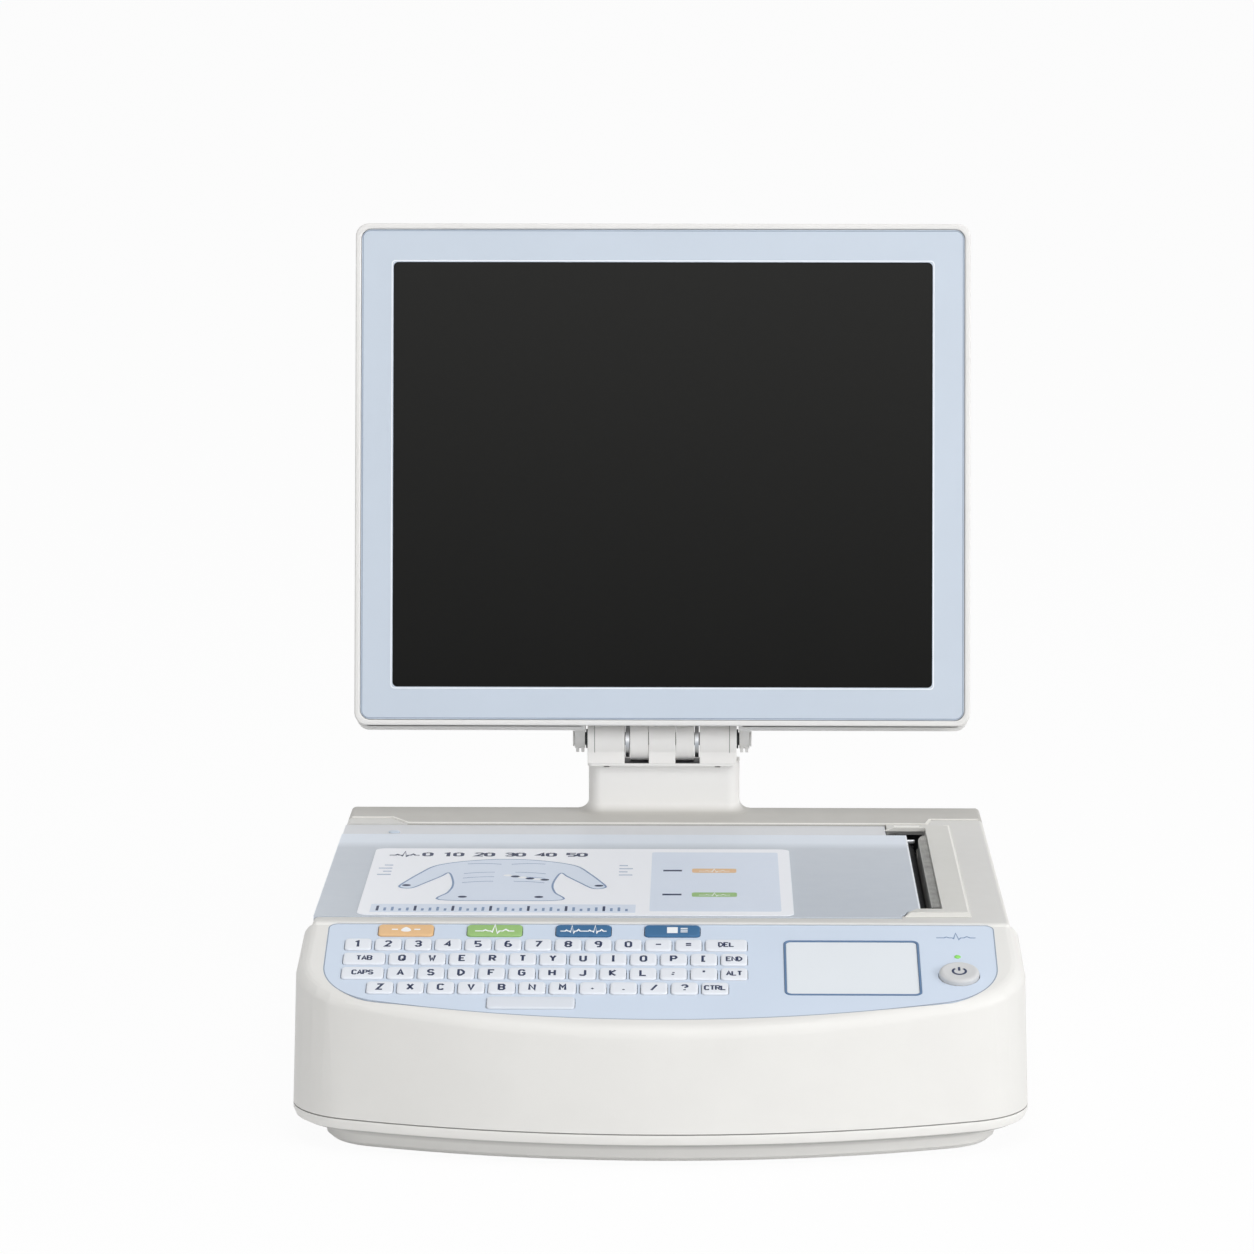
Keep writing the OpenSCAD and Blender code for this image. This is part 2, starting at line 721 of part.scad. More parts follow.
// Rubber sheet with a dome under each key and under the power button
module key_mat() color("slategray") on_keyboard() translate([0, 0, board_top]) {
    linear_extrude(key_mat_t) intersection() {
        translate([(left_keys + wide_right + wide_w / 2) / 2, -(function_row + space_row) / 2])
            round_rect(wide_right - left_keys + wide_w / 2 + 2, space_row - function_row + key_d + 2, 3);
        overlay_plan(window_in + slack);
    }
    translate([button_x, -button_row, 0]) cylinder(r = 7, h = key_mat_t);
}

module keyboard_board() color("seagreen") on_keyboard()
    translate([0, 0, board_top - key_board_t]) linear_extrude(key_board_t)
        overlay_plan(window_in - 3);

frame_t = 1.2;
module trackpad_frame() color("steelblue") on_keyboard() translate([pad_x, -pad_row, -overlay_t])
    linear_extrude(overlay_t + 0.4) difference() {
        round_rect(pad_w, pad_len, 4 - 0.15);
        round_rect(pad_w - 2 * frame_t, pad_len - 2 * frame_t, 3);
    }

module trackpad() color("aliceblue") on_keyboard() translate([pad_x, -pad_row, board_top])
    linear_extrude(-board_top - 0.2)
        round_rect(pad_w - 2 * frame_t - 0.3, pad_len - 2 * frame_t - 0.3, 2.8);

// Round button with a soft rim, retained by a flange under the overlay
button_rise = 3.4;
button_soft = 1.4;
module power_button() color("whitesmoke") on_keyboard() translate([button_x, -button_row, 0])
    rotate_extrude($fn = 96) {
        translate([0, key_under]) square([button_r + 0.9, flange_t]);
        translate([0, key_under]) square([button_r, button_rise - button_soft - key_under]);
        translate([0, key_under]) square([button_r - button_soft, button_rise - key_under]);
        translate([button_r - button_soft, button_rise - button_soft]) intersection() {
            circle(button_soft);
            square(button_soft);
        }
    }

module power_led() color("limegreen") on_keyboard() translate([button_x, -led_row, board_top])
    cylinder(r = led_r, h = -board_top + 0.3);

// ---- paper tray, cover and roller ----

module tray_groove(d, side) {
    // T groove, open at both ends; the foot points into the tray
    block([-half_body, back(d - groove_w / 2), groove_floor], [tray_right + 1, back(d + groove_w / 2), tray_top + 1]);
    block([-half_body, back(d - (side > 0 ? groove_w / 2 : groove_foot - groove_w / 2)), groove_floor],
          [tray_right + 1, back(d + (side > 0 ? groove_foot - groove_w / 2 : groove_w / 2)), groove_top]);
}

front_groove = tray_front + 4.4;
rear_groove = tray_rear - 4.4;
well_mid = (tray_front + tray_rear) / 2;
well_w = tray_rear - tray_front - 2 * well_margin;
well_left = tray_left + tray_wall;
module paper_tray() color("darkslategray") difference() {
    block([tray_left, back(tray_front), tray_floor - tray_wall], [tray_right, back(tray_rear), tray_top]);
    // wide upper part that the roller travels through
    block([well_left, back(tray_front + rail_w), ledge_h],
          [tray_right + 1, back(tray_rear - rail_w), tray_top + 1]);
    // paper well
    block([well_left, back(well_mid - well_w / 2), tray_floor],
          [well_left + well_len, back(well_mid + well_w / 2), ledge_h + 1]);
    tray_groove(front_groove, 1);
    tray_groove(rear_groove, -1);
}

// A rib of the cover with a foot that runs in the tray's groove
rib_left = tray_left + 9;
rib_right = tray_right - 5;
module cover_rib(d, side) {
    top = side > 0 ? cover_under : strip_top - strip_t;
    block([rib_left, back(d - rib_w / 2), groove_floor + slack], [rib_right, back(d + rib_w / 2), top + eps]);
    block([rib_left, back(d - (side > 0 ? rib_w / 2 : rib_foot - rib_w / 2)), groove_floor + slack],
          [rib_right, back(d + (side > 0 ? rib_foot - rib_w / 2 : rib_w / 2)), groove_top - slack]);
}

module paper_cover() color("lightslategray") {
    // raised panel with a rounded rear edge and round rear corners
    intersection() {
        translate([cover_left, 0, 0]) rotate([90, 0, 90])
            linear_extrude(cover_right - cover_left) panel_profile(cover_front + slack);
        linear_extrude(deck_h + 9) panel_plan();
    }
    // lower strip behind it
    block([cover_left, back(cover_step - 12), strip_top - strip_t],
          [leg_left + seam, back(cover_rear), strip_top]);
    cover_rib(front_groove, 1);
    cover_rib(rear_groove, -1);
    // skirt over the left wall, and the plate that the latch's pawl stands under
    block([cover_left, back(cover_front + slack), skirt_low],
          [cover_left + skirt_t, back(cover_rear), strip_top - 1]);
    block([cover_left + skirt_t - eps, back(latch_back - 12), skirt_low + catch_t],
          [pawl_x + pawl_t + 2, back(latch_back + 12), skirt_low + 2 * catch_t]);
}

panel_corner = 4;
leg_foot = [leg_left + 2.6, leg_left + 5.5];      // left end of the front leg, front and back
module panel_plan() {
    y1 = back(cover_step);
    polygon([[cover_left, back(cover_front)], [panel_right_end, back(cover_front)],
        [panel_right_end, back(leg_front + 3.6)], [leg_foot.x, back(leg_front + 3.6)],
        [leg_foot.y - 0.6, back(slot_front) + seam], [cover_right, back(slot_front) + seam],
        [cover_right, y1 - panel_corner], [cover_right - panel_corner, y1],
        [cover_left + panel_corner, y1], [cover_left, y1 - panel_corner]]);
    for (x = [cover_left + panel_corner, cover_right - panel_corner])
        translate([x, y1 - panel_corner]) circle(panel_corner);
}

module panel_profile(front) {
    translate([back(front), cover_under]) square([cover_step - panel_soft - front, cover_t]);
    translate([back(cover_step - panel_soft), cover_under]) square([panel_soft, cover_t - panel_soft]);
    translate([back(cover_step - panel_soft), cover_top - panel_soft]) intersection() {
        circle(panel_soft);
        square(panel_soft);
    }
}

label_t = 0.4;
label_w = 248;
label_len = cover_step - cover_front - 51.7;
label_left = cover_left + 24;
label_front = cover_front + 3;
module cover_label() color("ghostwhite")
    translate([label_left + label_w / 2, back(label_front + label_len / 2), cover_top])
        linear_extrude(label_t) round_rect(label_w, label_len, 6);

// Bar under the cover's right edge with an end plate at each end of the roller
carrier_front = roller_mid - roller_len / 2 - 4.4;
carrier_rear = roller_mid + roller_len / 2 + 1.4;
carrier_t = 3;
bar_left = tray_right - 5;
carrier_top = strip_top - strip_t - slack;
module roller_carrier() color("silver") difference() {
    union() {
        block([bar_left, back(carrier_front), roller_z - 1],
              [bar_left + carrier_t, back(carrier_rear + carrier_t), carrier_top]);
        block([bar_left, back(writer_front + 8), carrier_top - 2],
              [bar_left + 2 * carrier_t, back(cover_step - 12.4), cover_under - eps]);
        for (d = [carrier_front, carrier_rear])
            block([bar_left, back(d), roller_z - 6], [roller_x + 5, back(d + carrier_t), carrier_top]);
    }
    translate([roller_x, 0, roller_z]) rod_y(roller_shaft_r + running, back(carrier_front) - 1, back(carrier_rear) + 9);
}

roller_front = roller_mid - roller_len / 2;
module platen_roller() color("dimgray") translate([roller_x, 0, roller_z]) difference() {
    rod_y(roller_r, back(roller_front), back(roller_front + roller_len));
    rod_y(roller_shaft_r, back(roller_front) - 1, back(roller_front + roller_len) + 1);
}

module roller_shaft() color("silver") translate([roller_x, 0, roller_z])
    rod_y(roller_shaft_r, back(carrier_front) - 1.4, back(gear_back + gear_t) + 0.8);

// Spur gear with straight-sided teeth, front face at y = 0
tooth_fill = 0.42;
module spur_gear(teeth, bore, turn) {
    r = gear_module * teeth / 2;
    root = r - 1.25 * gear_module;
    tip = r + 0.85 * gear_module;
    half_root = 360 / teeth * 0.34;
    half_pitch = 360 / teeth * tooth_fill / 2;
    half_tip = half_pitch * 0.5;
    rotate([-90, 0, 0]) linear_extrude(gear_t) difference() {
        union() {
            circle(root + 0.02);
            for (i = [0 : teeth - 1]) rotate(turn + i * 360 / teeth) polygon([
                (root - 0.3) * [cos(half_root), -sin(half_root)], r * [cos(half_pitch), -sin(half_pitch)],
                tip * [cos(half_tip), -sin(half_tip)], tip * [cos(half_tip), sin(half_tip)],
                r * [cos(half_pitch), sin(half_pitch)], (root - 0.3) * [cos(half_root), sin(half_root)]]);
        }
        circle(bore);
    }
}

// The tooth that faces a mate points along the line of centres; the mate has a gap there
roller_turn = -idler_dir;
idler_turn = roller_turn + 180 + 180 / idler_teeth;
pinion_phase = 90 - idler_turn;
pinion_turn = -90 + 180 / pinion_teeth + (pinion_phase % (360 / idler_teeth)) * idler_teeth / pinion_teeth;

module roller_gear() color("ivory") translate([roller_x, back(gear_back), roller_z])
    spur_gear(roller_teeth, roller_shaft_r, roller_turn);
module idler_gear() color("ivory") translate([idler_x, back(gear_back), idler_z])
    spur_gear(idler_teeth, stud_r + running, idler_turn);

motor_shaft_r = 2.5;
module motor_pinion() color("gold") {
    translate([pinion_x, back(gear_back), pinion_z]) spur_gear(pinion_teeth, motor_shaft_r, pinion_turn);
}

module stepper_motor() color("dimgray") translate([pinion_x, back(frame_rear - plate_t), pinion_z]) {
    difference() {
        union() {
            translate([-motor_side / 2, -motor_len, -motor_side / 2]) cube([motor_side, motor_len, motor_side]);
            rod_y(9, -eps, plate_t + 0.2);
        }
        rod_y(motor_shaft_r + running, -6, plate_t + 2);
    }
}

// Steel frame of the writer: floor on two posts, an upright at each end
frame_left = roller_x - 6.5;
frame_right = half_deck - 14.75;
module writer_frame() color("silver") difference() {
    union() {
        block([frame_left, back(frame_front), frame_floor], [frame_right, back(frame_rear), frame_floor + plate_t]);
        for (d = [frame_front, frame_rear - plate_t])
            block([frame_left, back(d), frame_floor], [frame_right, back(d + plate_t), roller_z - 4]);
        translate([idler_x, 0, idler_z]) rod_y(stud_r, back(frame_rear - plate_t), back(gear_back + gear_t) + 1);
    }
    translate([pinion_x, 0, pinion_z]) rod_y(9.1, back(frame_rear) - 4, back(frame_rear) + 4);
    // room for the roller's ends
    for (d = [frame_front, frame_rear])
        block([frame_left - 1, back(d - 3), roller_z - 12], [roller_x + 8, back(d + 3), roller_z]);
}

// Heat sink with a heating strip that faces the roller
head_low = roller_z - 12;
head_top = deck_h + 0.6;
head_end = cover_step - 2.6;
cap_w = slot_right - head_x - 0.2 - slack;   // the part that shows in the slot
cap_end = 20;
module print_head() color("gray") {
    block([head_x + 0.6, back(frame_front + plate_t + slack), head_low],
          [head_x + head_t, back(frame_rear - plate_t - slack), roller_z + 3]);
    translate([0, 0, roller_z + 2]) linear_extrude(head_top - roller_z - 2) {
        translate([head_x + 0.2, back(frame_front + 6)]) square([cap_w, head_end - cap_end - frame_front - 6]);
        translate([head_x + 0.2 + cap_w, back(head_end - cap_end)]) intersection() {
            scale([1, cap_end / cap_w]) circle(cap_w);
            translate([-cap_w, 0]) square([cap_w, cap_end]);
        }
    }
    block([head_x, back(roller_front + 2), roller_z - 3.5],
          [head_x + 0.6 + eps, back(roller_front + roller_len - 2), roller_z + 3.5]);
}

// Coil springs, as closed cylinders, that press the head against the roller
spring_len = 7;
spring_wall = head_x + head_t + spring_len;
spring_wall_t = 2;
spring_wall_front = writer_front + 31.5;
spring_wall_rear = writer_rear - 29.5;
module head_springs() color("silver") for (d = [spring_wall_front + 10, (spring_wall_front + spring_wall_rear) / 2, spring_wall_rear - 10])
    translate([head_x + head_t, back(d), roller_z - 5]) difference() {
        rod_x(3, slack, spring_len);
        rod_x(1.8, 0, spring_len + 1);
    }

// Raised U around the paper slot with bevelled edges and slanted ends
bevel = 2;
module leg_bar(d0, d1, foot, top, south, north) hull() {
    right = slot_right + 2;
    translate([0, 0, deck_h]) linear_extrude(0.4) polygon([
        [foot.x, back(d0)], [right, back(d0)], [right, back(d1)], [foot.y, back(d1)]]);
    translate([0, 0, deck_h]) linear_extrude(writer_rise) polygon([
        [top.x, back(d0 + south)], [right, back(d0 + south)],
        [right, back(d1 - north)], [top.y, back(d1 - north)]]);
}
module writer_cover() color("whitesmoke") {
    leg_bar(leg_front, slot_front, leg_foot, leg_foot + [4, 5], bevel, 0);
    leg_bar(slot_rear, leg_back, [leg_left - 0.6, leg_left + 4], [leg_left + 5.7, leg_left + 5.9], 0, 1);
    hull() {
        block([slot_right, back(leg_front), deck_h], [writer_right, back(leg_back), deck_h + 0.4]);
        block([slot_right, back(leg_front + bevel), deck_h],
              [writer_right - 1, back(leg_back - 1), deck_h + writer_rise]);
    }
    // wall that hangs behind the print head and carries its springs
    block([spring_wall, back(spring_wall_front), roller_z - 10],
          [spring_wall + spring_wall_t, back(spring_wall_rear), deck_h + eps]);
}

// Latch that holds the cover shut, pressed down at the left
latch_back = (cover_front + cover_rear) / 2 - 13.3;
latch_w = 24;
latch_low = skirt_low - 12;
latch_travel = 3;
pawl_t = 1.2;
pawl_x = cover_left + skirt_t + 0.6;
catch_t = 1.6;
module cover_latch() color("slategray") {
    block([-half_deck - 0.6, back(latch_back - latch_w / 2), latch_low + latch_travel + 0.6],
          [tray_left - 1.2, back(latch_back + latch_w / 2), skirt_low - slack]);
    block([pawl_x, back(latch_back - 8), skirt_low - 1],
          [pawl_x + pawl_t, back(latch_back + 8), skirt_low + catch_t - seam]);
}
module latch_spring() color("silver") translate([tray_left - 4.4, back(latch_back), latch_low])
    difference() {
        cylinder(r = 2.2, h = latch_travel + 0.4);
        translate([0, 0, -1]) cylinder(r = 1.4, h = latch_travel + 3);
    }

// ---- electronics ----

board_z = 12;
board_front = 48;
board_len = 164;
board_half = 100;
board_rows = [board_front + 12, board_front + board_len - 12];
board_post_x = board_half - 8;
module main_board() color("seagreen") {
    block([-board_half, back(board_front), board_z],
          [board_half, back(board_front + board_len), board_z + 1.6]);
    block([-90, back(90), board_z + 1.6], [-30, back(150), board_z + 6]);
    block([-5, back(85), board_z + 1.6], [29, back(119), board_z + 4.2]);
    for (i = [0 : 4]) block([28 + i * 14, back(160), board_z + 1.6], [38 + i * 14, back(176), board_z + 3.6]);
    block([-80, back(192), board_z + 1.6], [-50, back(206), board_z + 11]);
    for (x = [50, 64, 78]) translate([x, back(110), board_z + 1.6]) cylinder(r = 5, h = 12);
}

psu_low = pan_floor;
psu_w = 122;
psu_len = 58;
psu_h = 34;
psu_left = -half_body + 59;
psu_front = body_depth - 29 - psu_len;
sheet_t = 1.5;
module power_supply() color("silver") difference() {
    block([psu_left, back(psu_front), psu_low],
          [psu_left + psu_w, back(psu_front + psu_len), psu_low + psu_h]);
    block([psu_left + sheet_t, back(psu_front + sheet_t), psu_low + sheet_t],
          [psu_left + psu_w - sheet_t, back(psu_front + psu_len - sheet_t), psu_low + psu_h + 2]);
}

battery_low = pan_floor;
battery_w = 180;
battery_len = 66;
battery_h = 34;
battery_left = -half_body + 55;
battery_front = board_front + board_len + 20;
battery_rear = battery_front + battery_len;
strap_w = 24;
strap_left = battery_left + (battery_w - strap_w) / 2;
module battery_pack() color("darkslateblue")
    block([battery_left, back(battery_front), battery_low],
          [battery_left + battery_w, back(battery_rear), battery_low + battery_h]);
module battery_strap() color("silver") difference() {
    block([strap_left, back(battery_front - 10), battery_low],
          [strap_left + strap_w, back(battery_rear + 10), battery_low + battery_h + sheet_t]);
    block([strap_left - 1, back(battery_front) - eps, battery_low - 1],
          [strap_left + strap_w + 1, back(battery_rear) + eps, battery_low + battery_h]);
    for (d = [battery_front - 12, battery_rear + sheet_t])
        block([strap_left - 1, back(d), battery_low + sheet_t],
              [strap_left + strap_w + 1, back(d + 10.5), battery_low + battery_h + 6]);
}

module speaker() color("dimgray") translate([half_body - 110, back(battery_front + 43), pan_floor]) {
    difference() {
        cylinder(r = 25, h = 4);
        translate([0, 0, 2]) cylinder(r = 22, h = 4);
    }
    cylinder(r = 11, h = 14);
}

// ---- hinge ----

module hinge_bracket() color("silver") {
    block([neck_x - neck_w / 2 + 3.4, hinge_y + neck_front - 6, deck_under - 3.2],
          [neck_x + neck_w / 2 - 3.4, hinge_y + neck_rear - 5, deck_under - slack / 2]);
    translate([hinge_x, 0, 0]) both_sides() translate([upright_x, hinge_y, 0]) difference() {
        union() {
            block([0, neck_front + 3.4, deck_under - 1], [upright_t, 6, hinge_h]);
            translate([0, 0, hinge_h]) rod_x(10.5, 0, upright_t);
        }
        translate([0, 0, hinge_h]) rod_x(shaft_r, -1, upright_t + 1);
    }
}

// Fixed covers of the hinge: a middle piece and a hollow cap at each side
drum_wall = 2;
module hinge_drum() color("gainsboro") translate([hinge_x, hinge_y, hinge_h]) difference() {
    union() {
        drum_shape(-knuckle_in + 0.3, knuckle_in - 0.3);
        both_sides() drum_shape(drum_in, drum_w / 2);
    }
    both_sides() {
        translate([0, 0, 0]) rod_x(drum_r - drum_wall, drum_in + drum_wall, drum_w / 2 - drum_wall);
        block([upright_x - slack, -8, -drum_r - 1], [upright_x + upright_t + slack, 8, 0]);
    }
    rod_x(shaft_r + running, -drum_w, drum_w);
}

module drum_shape(x0, x1) {
    rod_x(drum_r, x0, x1);
    block([x0, lip_front - 0.3, -hinge_h + neck_top], [x1, neck_rear - 1, 0]);
}

module hinge_shaft() color("silver") translate([hinge_x, hinge_y, hinge_h]) {
    rod_x(shaft_r, -ear_in - ear_t - 0.4, ear_in + ear_t + 0.4);
    both_sides() rod_x(shaft_r + 0.8, ear_in + ear_t + 0.3, ear_in + ear_t + 1.2);
}

// Friction washers inside the caps, and dark bushes between caps and ears
module friction_washers() color("gray") translate([hinge_x, hinge_y, hinge_h]) both_sides() difference() {
    union() {
        rod_x(8, drum_in + drum_wall + 0.3, upright_x - 0.3);
        rod_x(ear_r, drum_w / 2 + 0.1, notch_half - slack);
    }
    rod_x(shaft_r + running, drum_in, ear_in + 1);
}

module hinge_knuckles() color("whitesmoke") on_display() both_sides() difference() {
    rod_x(drum_r, knuckle_in, knuckle_out);
    rod_x(shaft_r + running, knuckle_in - 1, knuckle_out + 1);
}

module display_arms() color("silver") on_display() both_sides() difference() {
    union() {
        rod_x(11.5, arm_in, arm_in + arm_t);
        block([arm_in, chassis_y, 0], [arm_in + arm_t, 0, 75]);
        block([arm_in, chassis_y, 30], [arm_in + 25, chassis_y + 2, 75]);
    }
    rod_x(shaft_r + running, arm_in - 1, arm_in + arm_t + 1);
}

// ---- display ----

display_mid = display_low + display_h / 2;

// An outline of the display in its own plane, extruded back from y0 to y1
module slab(w, h, r, y0, y1, mid = display_mid)
    translate([0, y1, mid]) rotate([90, 0, 0]) linear_extrude(y1 - y0) round_rect(w, h, r);

module display_frame() color("whitesmoke") on_display() difference() {
    slab(display_w, display_h, display_corner_r, face_y, face_y + display_rim_d);
    slab(display_w - 2 * rim_w, display_h - 2 * rim_w, display_corner_r - rim_w / 2, face_y - 1, face_y + 3.4);
    slab(display_w - 18, display_h - 14, 5, face_y - 1, face_y + display_rim_d + 1);
}

face_in = rim_w + 0.3;
face_t = 2.4;
face_front = face_y + 0.8;
screen_mid = display_mid;
module face_plate() color("lightsteelblue") on_display() difference() {
    slab(display_w - 2 * face_in, display_h - 2 * face_in, display_corner_r - face_in / 2,
         face_front, face_front + face_t);
    slab(screen_w, screen_h, 3, face_front - 1, face_front + face_t + 1, screen_mid);
}

module touch_glass() color("black") on_display()
    slab(screen_w - 0.8, screen_h - 0.8, 2.6, face_front + 0.5, face_front + face_t, screen_mid);

module lcd_panel() color("dimgray") on_display() {
    slab(screen_w + 16, screen_h + 18, 4, face_front + face_t + 0.1, face_front + face_t + 12, screen_mid);
    slab(screen_w - 40, screen_h - 60, 4, face_front + face_t + 11.9, chassis_y - 1.5, screen_mid);
}

module display_chassis() color("silver") on_display() difference() {
    slab(screen_w - 4, screen_h - 13, 6, chassis_y - 1.5, chassis_y);
    for (sx = [-1, 1]) slab_window(sx * screen_w / 3, display_mid + 30, 70, 90);
}
module slab_window(x, z, w, h)
    translate([x, chassis_y + 1, z]) rotate([90, 0, 0]) linear_extrude(4) round_rect(w, h, 6);

// Controller board on the chassis
module display_board() color("seagreen") on_display() {
    block([-60, chassis_y + 3, 120], [60, chassis_y + 4.6, 200]);
    for (sx = [-1, 1], z = [126, 194]) translate([sx * 54, 0, z]) rod_y(2.5, chassis_y, chassis_y + 3.1);
    block([-30, chassis_y + 4.6, 140], [-8, chassis_y + 7, 162]);
    block([14, chassis_y + 4.6, 150], [44, chassis_y + 9, 162]);
}

// Rear shell: a straight skirt and a crowned back, with a notch for the hinge
back_wall = 2.4;
back_w = display_w - 1.6;
back_h = display_h + lip_drop - 0.8;
back_mid = display_low - lip_drop + back_h / 2;
seat_y = face_y + display_rim_d;
crown_y = back_y - 12;
module back_form(inset) hull() {
    slab(back_w - 2 * inset, back_h - 2 * inset, display_corner_r - inset, seat_y - (inset > 0 ? 1 : 0),
         crown_y, back_mid, $fn = soft_fn);
    slab(back_w - 60 - 2 * inset, back_h - 60 - 2 * inset, 20, back_y - inset - 1, back_y - inset,
         back_mid, $fn = soft_fn);
}
vent_count = 14;
module display_back() color("whitesmoke") on_display() {
    difference() {
        union() {
            difference() {
                back_form(0);
                back_form(back_wall);
            }
            // walls around the notch
            intersection() {
                back_form(back_wall / 2);
                block([-notch_half - back_wall, seat_y, 0], [notch_half + back_wall, back_y, notch_top + back_wall]);
            }
        }
        block([-notch_half, seat_y - 1, 0], [notch_half, back_y + 1, notch_top]);
        for (sx = [-1, 1])
            block([sx * (arm_in + arm_t / 2) - arm_t / 2 - seam, -10, notch_top - 1],
                  [sx * (arm_in + arm_t / 2) + arm_t / 2 + seam, 8, notch_top + back_wall + 1]);
        for (i = [0 : vent_count - 1])
            translate([(i - (vent_count - 1) / 2) * 12, back_y, display_mid + 90]) cube([4, 8, 40], center = true);
    }
    // ears on the ends of the hinge shaft
    both_sides() difference() {
        union() {
            rod_x(ear_r, ear_in, ear_in + ear_t);
            block([ear_in, -ear_r, 0], [ear_in + ear_t, ear_r, display_low - lip_drop + back_wall]);
            for (x = [0.6, 3.8]) block([ear_in + x, -3, -ear_r - 2.4], [ear_in + x + 1.8, 3, 0]);
        }
        rod_x(shaft_r + running, ear_in - 1, ear_in + ear_t + 1);
    }
}

base_pan();
rubber_feet();
base_screws();
top_housing();
rear_deck();
rear_panel();
keyboard_overlay();
key_mat();
keyboard_board();
key_row_1();
key_row_2();
key_row_3();
key_row_4();
space_bar();
function_key_1();
function_key_2();
function_key_3();
function_key_4();
trackpad_frame();
trackpad();
power_button();
power_led();
paper_tray();
paper_cover();
cover_label();
roller_carrier();
roller_shaft();
platen_roller();
roller_gear();
idler_gear();
motor_pinion();
stepper_motor();
writer_frame();
print_head();
head_springs();
writer_cover();
cover_latch();
latch_spring();
main_board();
power_supply();
battery_pack();
battery_strap();
speaker();
mains_inlet();
ground_lug();
data_ports();
patient_port();
hinge_bracket();
hinge_drum();
hinge_shaft();
friction_washers();
hinge_knuckles();
display_arms();
display_chassis();
display_back();
display_frame();
face_plate();
touch_glass();
lcd_panel();
display_board();
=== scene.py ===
"""Looks of a resting electrocardiograph: finishes, keys, legends, printed label, light and camera."""
import json
import math

import bmesh
import bpy
from mathutils import Matrix, Vector


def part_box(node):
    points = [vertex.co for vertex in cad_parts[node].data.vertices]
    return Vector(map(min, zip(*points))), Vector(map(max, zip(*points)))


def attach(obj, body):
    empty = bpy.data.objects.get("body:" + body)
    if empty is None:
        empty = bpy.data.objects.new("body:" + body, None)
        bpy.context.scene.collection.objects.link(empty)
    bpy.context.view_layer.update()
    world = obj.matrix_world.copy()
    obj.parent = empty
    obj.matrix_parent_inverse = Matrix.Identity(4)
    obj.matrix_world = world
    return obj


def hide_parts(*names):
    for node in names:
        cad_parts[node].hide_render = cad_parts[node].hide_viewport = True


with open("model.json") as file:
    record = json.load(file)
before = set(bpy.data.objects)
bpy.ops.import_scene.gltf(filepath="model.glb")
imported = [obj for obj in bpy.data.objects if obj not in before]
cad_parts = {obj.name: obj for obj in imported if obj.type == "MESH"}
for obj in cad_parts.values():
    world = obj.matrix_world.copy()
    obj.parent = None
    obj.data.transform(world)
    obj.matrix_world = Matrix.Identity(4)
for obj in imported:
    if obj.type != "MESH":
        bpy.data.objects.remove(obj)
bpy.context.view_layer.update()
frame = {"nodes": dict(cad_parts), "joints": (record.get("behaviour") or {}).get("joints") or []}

# ---- places, from the frame and the construction's driving sizes ----

MM = 0.001
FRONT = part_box("base_pan")[0].y         # front edge of the body
FOLD_BACK = 118 * MM                    # from the front edge to the fold line of the deck
DECK_H = 113 * MM
KEY_SLOPE = math.radians(16.5)
DISPLAY_LEAN = math.radians(10)


def back(distance):
    """The y of a place so many millimetres behind the body's front edge."""
    return FRONT + distance * MM


def joint_place(name):
    """The point on a hinge's axis, at rest."""
    return Vector(next(j for j in frame["joints"] if j["name"] == name)["pos_m"])


# x to the right, y up the slope, z off the keys
KEYBOARD = (Matrix.Translation((0, FRONT + FOLD_BACK, DECK_H - 1 * MM))
            @ Matrix.Rotation(KEY_SLOPE, 4, "X"))
# x to the right, y up the screen, z towards the reader
DISPLAY = (Matrix.Translation(joint_place("display_tilt"))
           @ Matrix.Rotation(math.radians(90) - DISPLAY_LEAN, 4, "X"))


def box_in(node, place):
    """Lowest and highest corner of a node in a plane's own coordinates."""
    inverse = place.inverted()
    points = [inverse @ v.co for v in frame["nodes"][node].data.vertices]
    return (Vector([min(p[i] for p in points) for i in range(3)]),
            Vector([max(p[i] for p in points) for i in range(3)]))


def solids_in(node, place, above):
    """Boxes of a node's separate solids in a plane's own coordinates, above a height, left to right."""
    mesh = frame["nodes"][node].data
    inverse = place.inverted()
    points = [inverse @ v.co for v in mesh.vertices]
    first = {}
    group = [first.setdefault(tuple(round(c, 5) for c in p), i) for i, p in enumerate(points)]

    def head(i):
        while group[i] != i:
            group[i] = group[group[i]]
            i = group[i]
        return i

    for edge in mesh.edges:
        a, b = (head(v) for v in edge.vertices)
        group[a] = b
    boxes = {}
    for i, p in enumerate(points):
        if p.z < above:
            continue
        low, high = boxes.setdefault(head(i), (p.copy(), p.copy()))
        for k in range(3):
            low[k] = min(low[k], p[k])
            high[k] = max(high[k], p[k])
    return sorted(boxes.values(), key=lambda b: b[0].x)


def outer_edge(node, place, level=None):
    """Points round the outer edge of a node's face at a height, in a plane's own coordinates.

    Without a height it is the highest face. Gives the height too.
    """
    bm = bmesh.new()
    bm.from_mesh(frame["nodes"][node].data)
    bm.transform(place.inverted())
    bmesh.ops.remove_doubles(bm, verts=bm.verts, dist=1e-6)
    bm.normal_update()
    top = max(v.co.z for v in bm.verts) if level is None else level
    upper = {f for f in bm.faces
             if f.normal.z > 0.99 and abs(f.calc_center_median().z - top) < 0.05 * MM}
    beside = {}
    for edge in bm.edges:
        if sum(f in upper for f in edge.link_faces) == 1:
            a, b = edge.verts
            beside.setdefault(a, []).append(b)
            beside.setdefault(b, []).append(a)
    loop = [min(beside, key=lambda v: v.co.x)]
    before = None
    while True:
        after = next(v for v in beside[loop[-1]] if v is not before)
        if after is loop[0]:
            break
        before = loop[-1]
        loop.append(after)
    points = [(v.co.x, v.co.y) for v in loop]
    bm.free()
    return points, top


# ---- materials ----

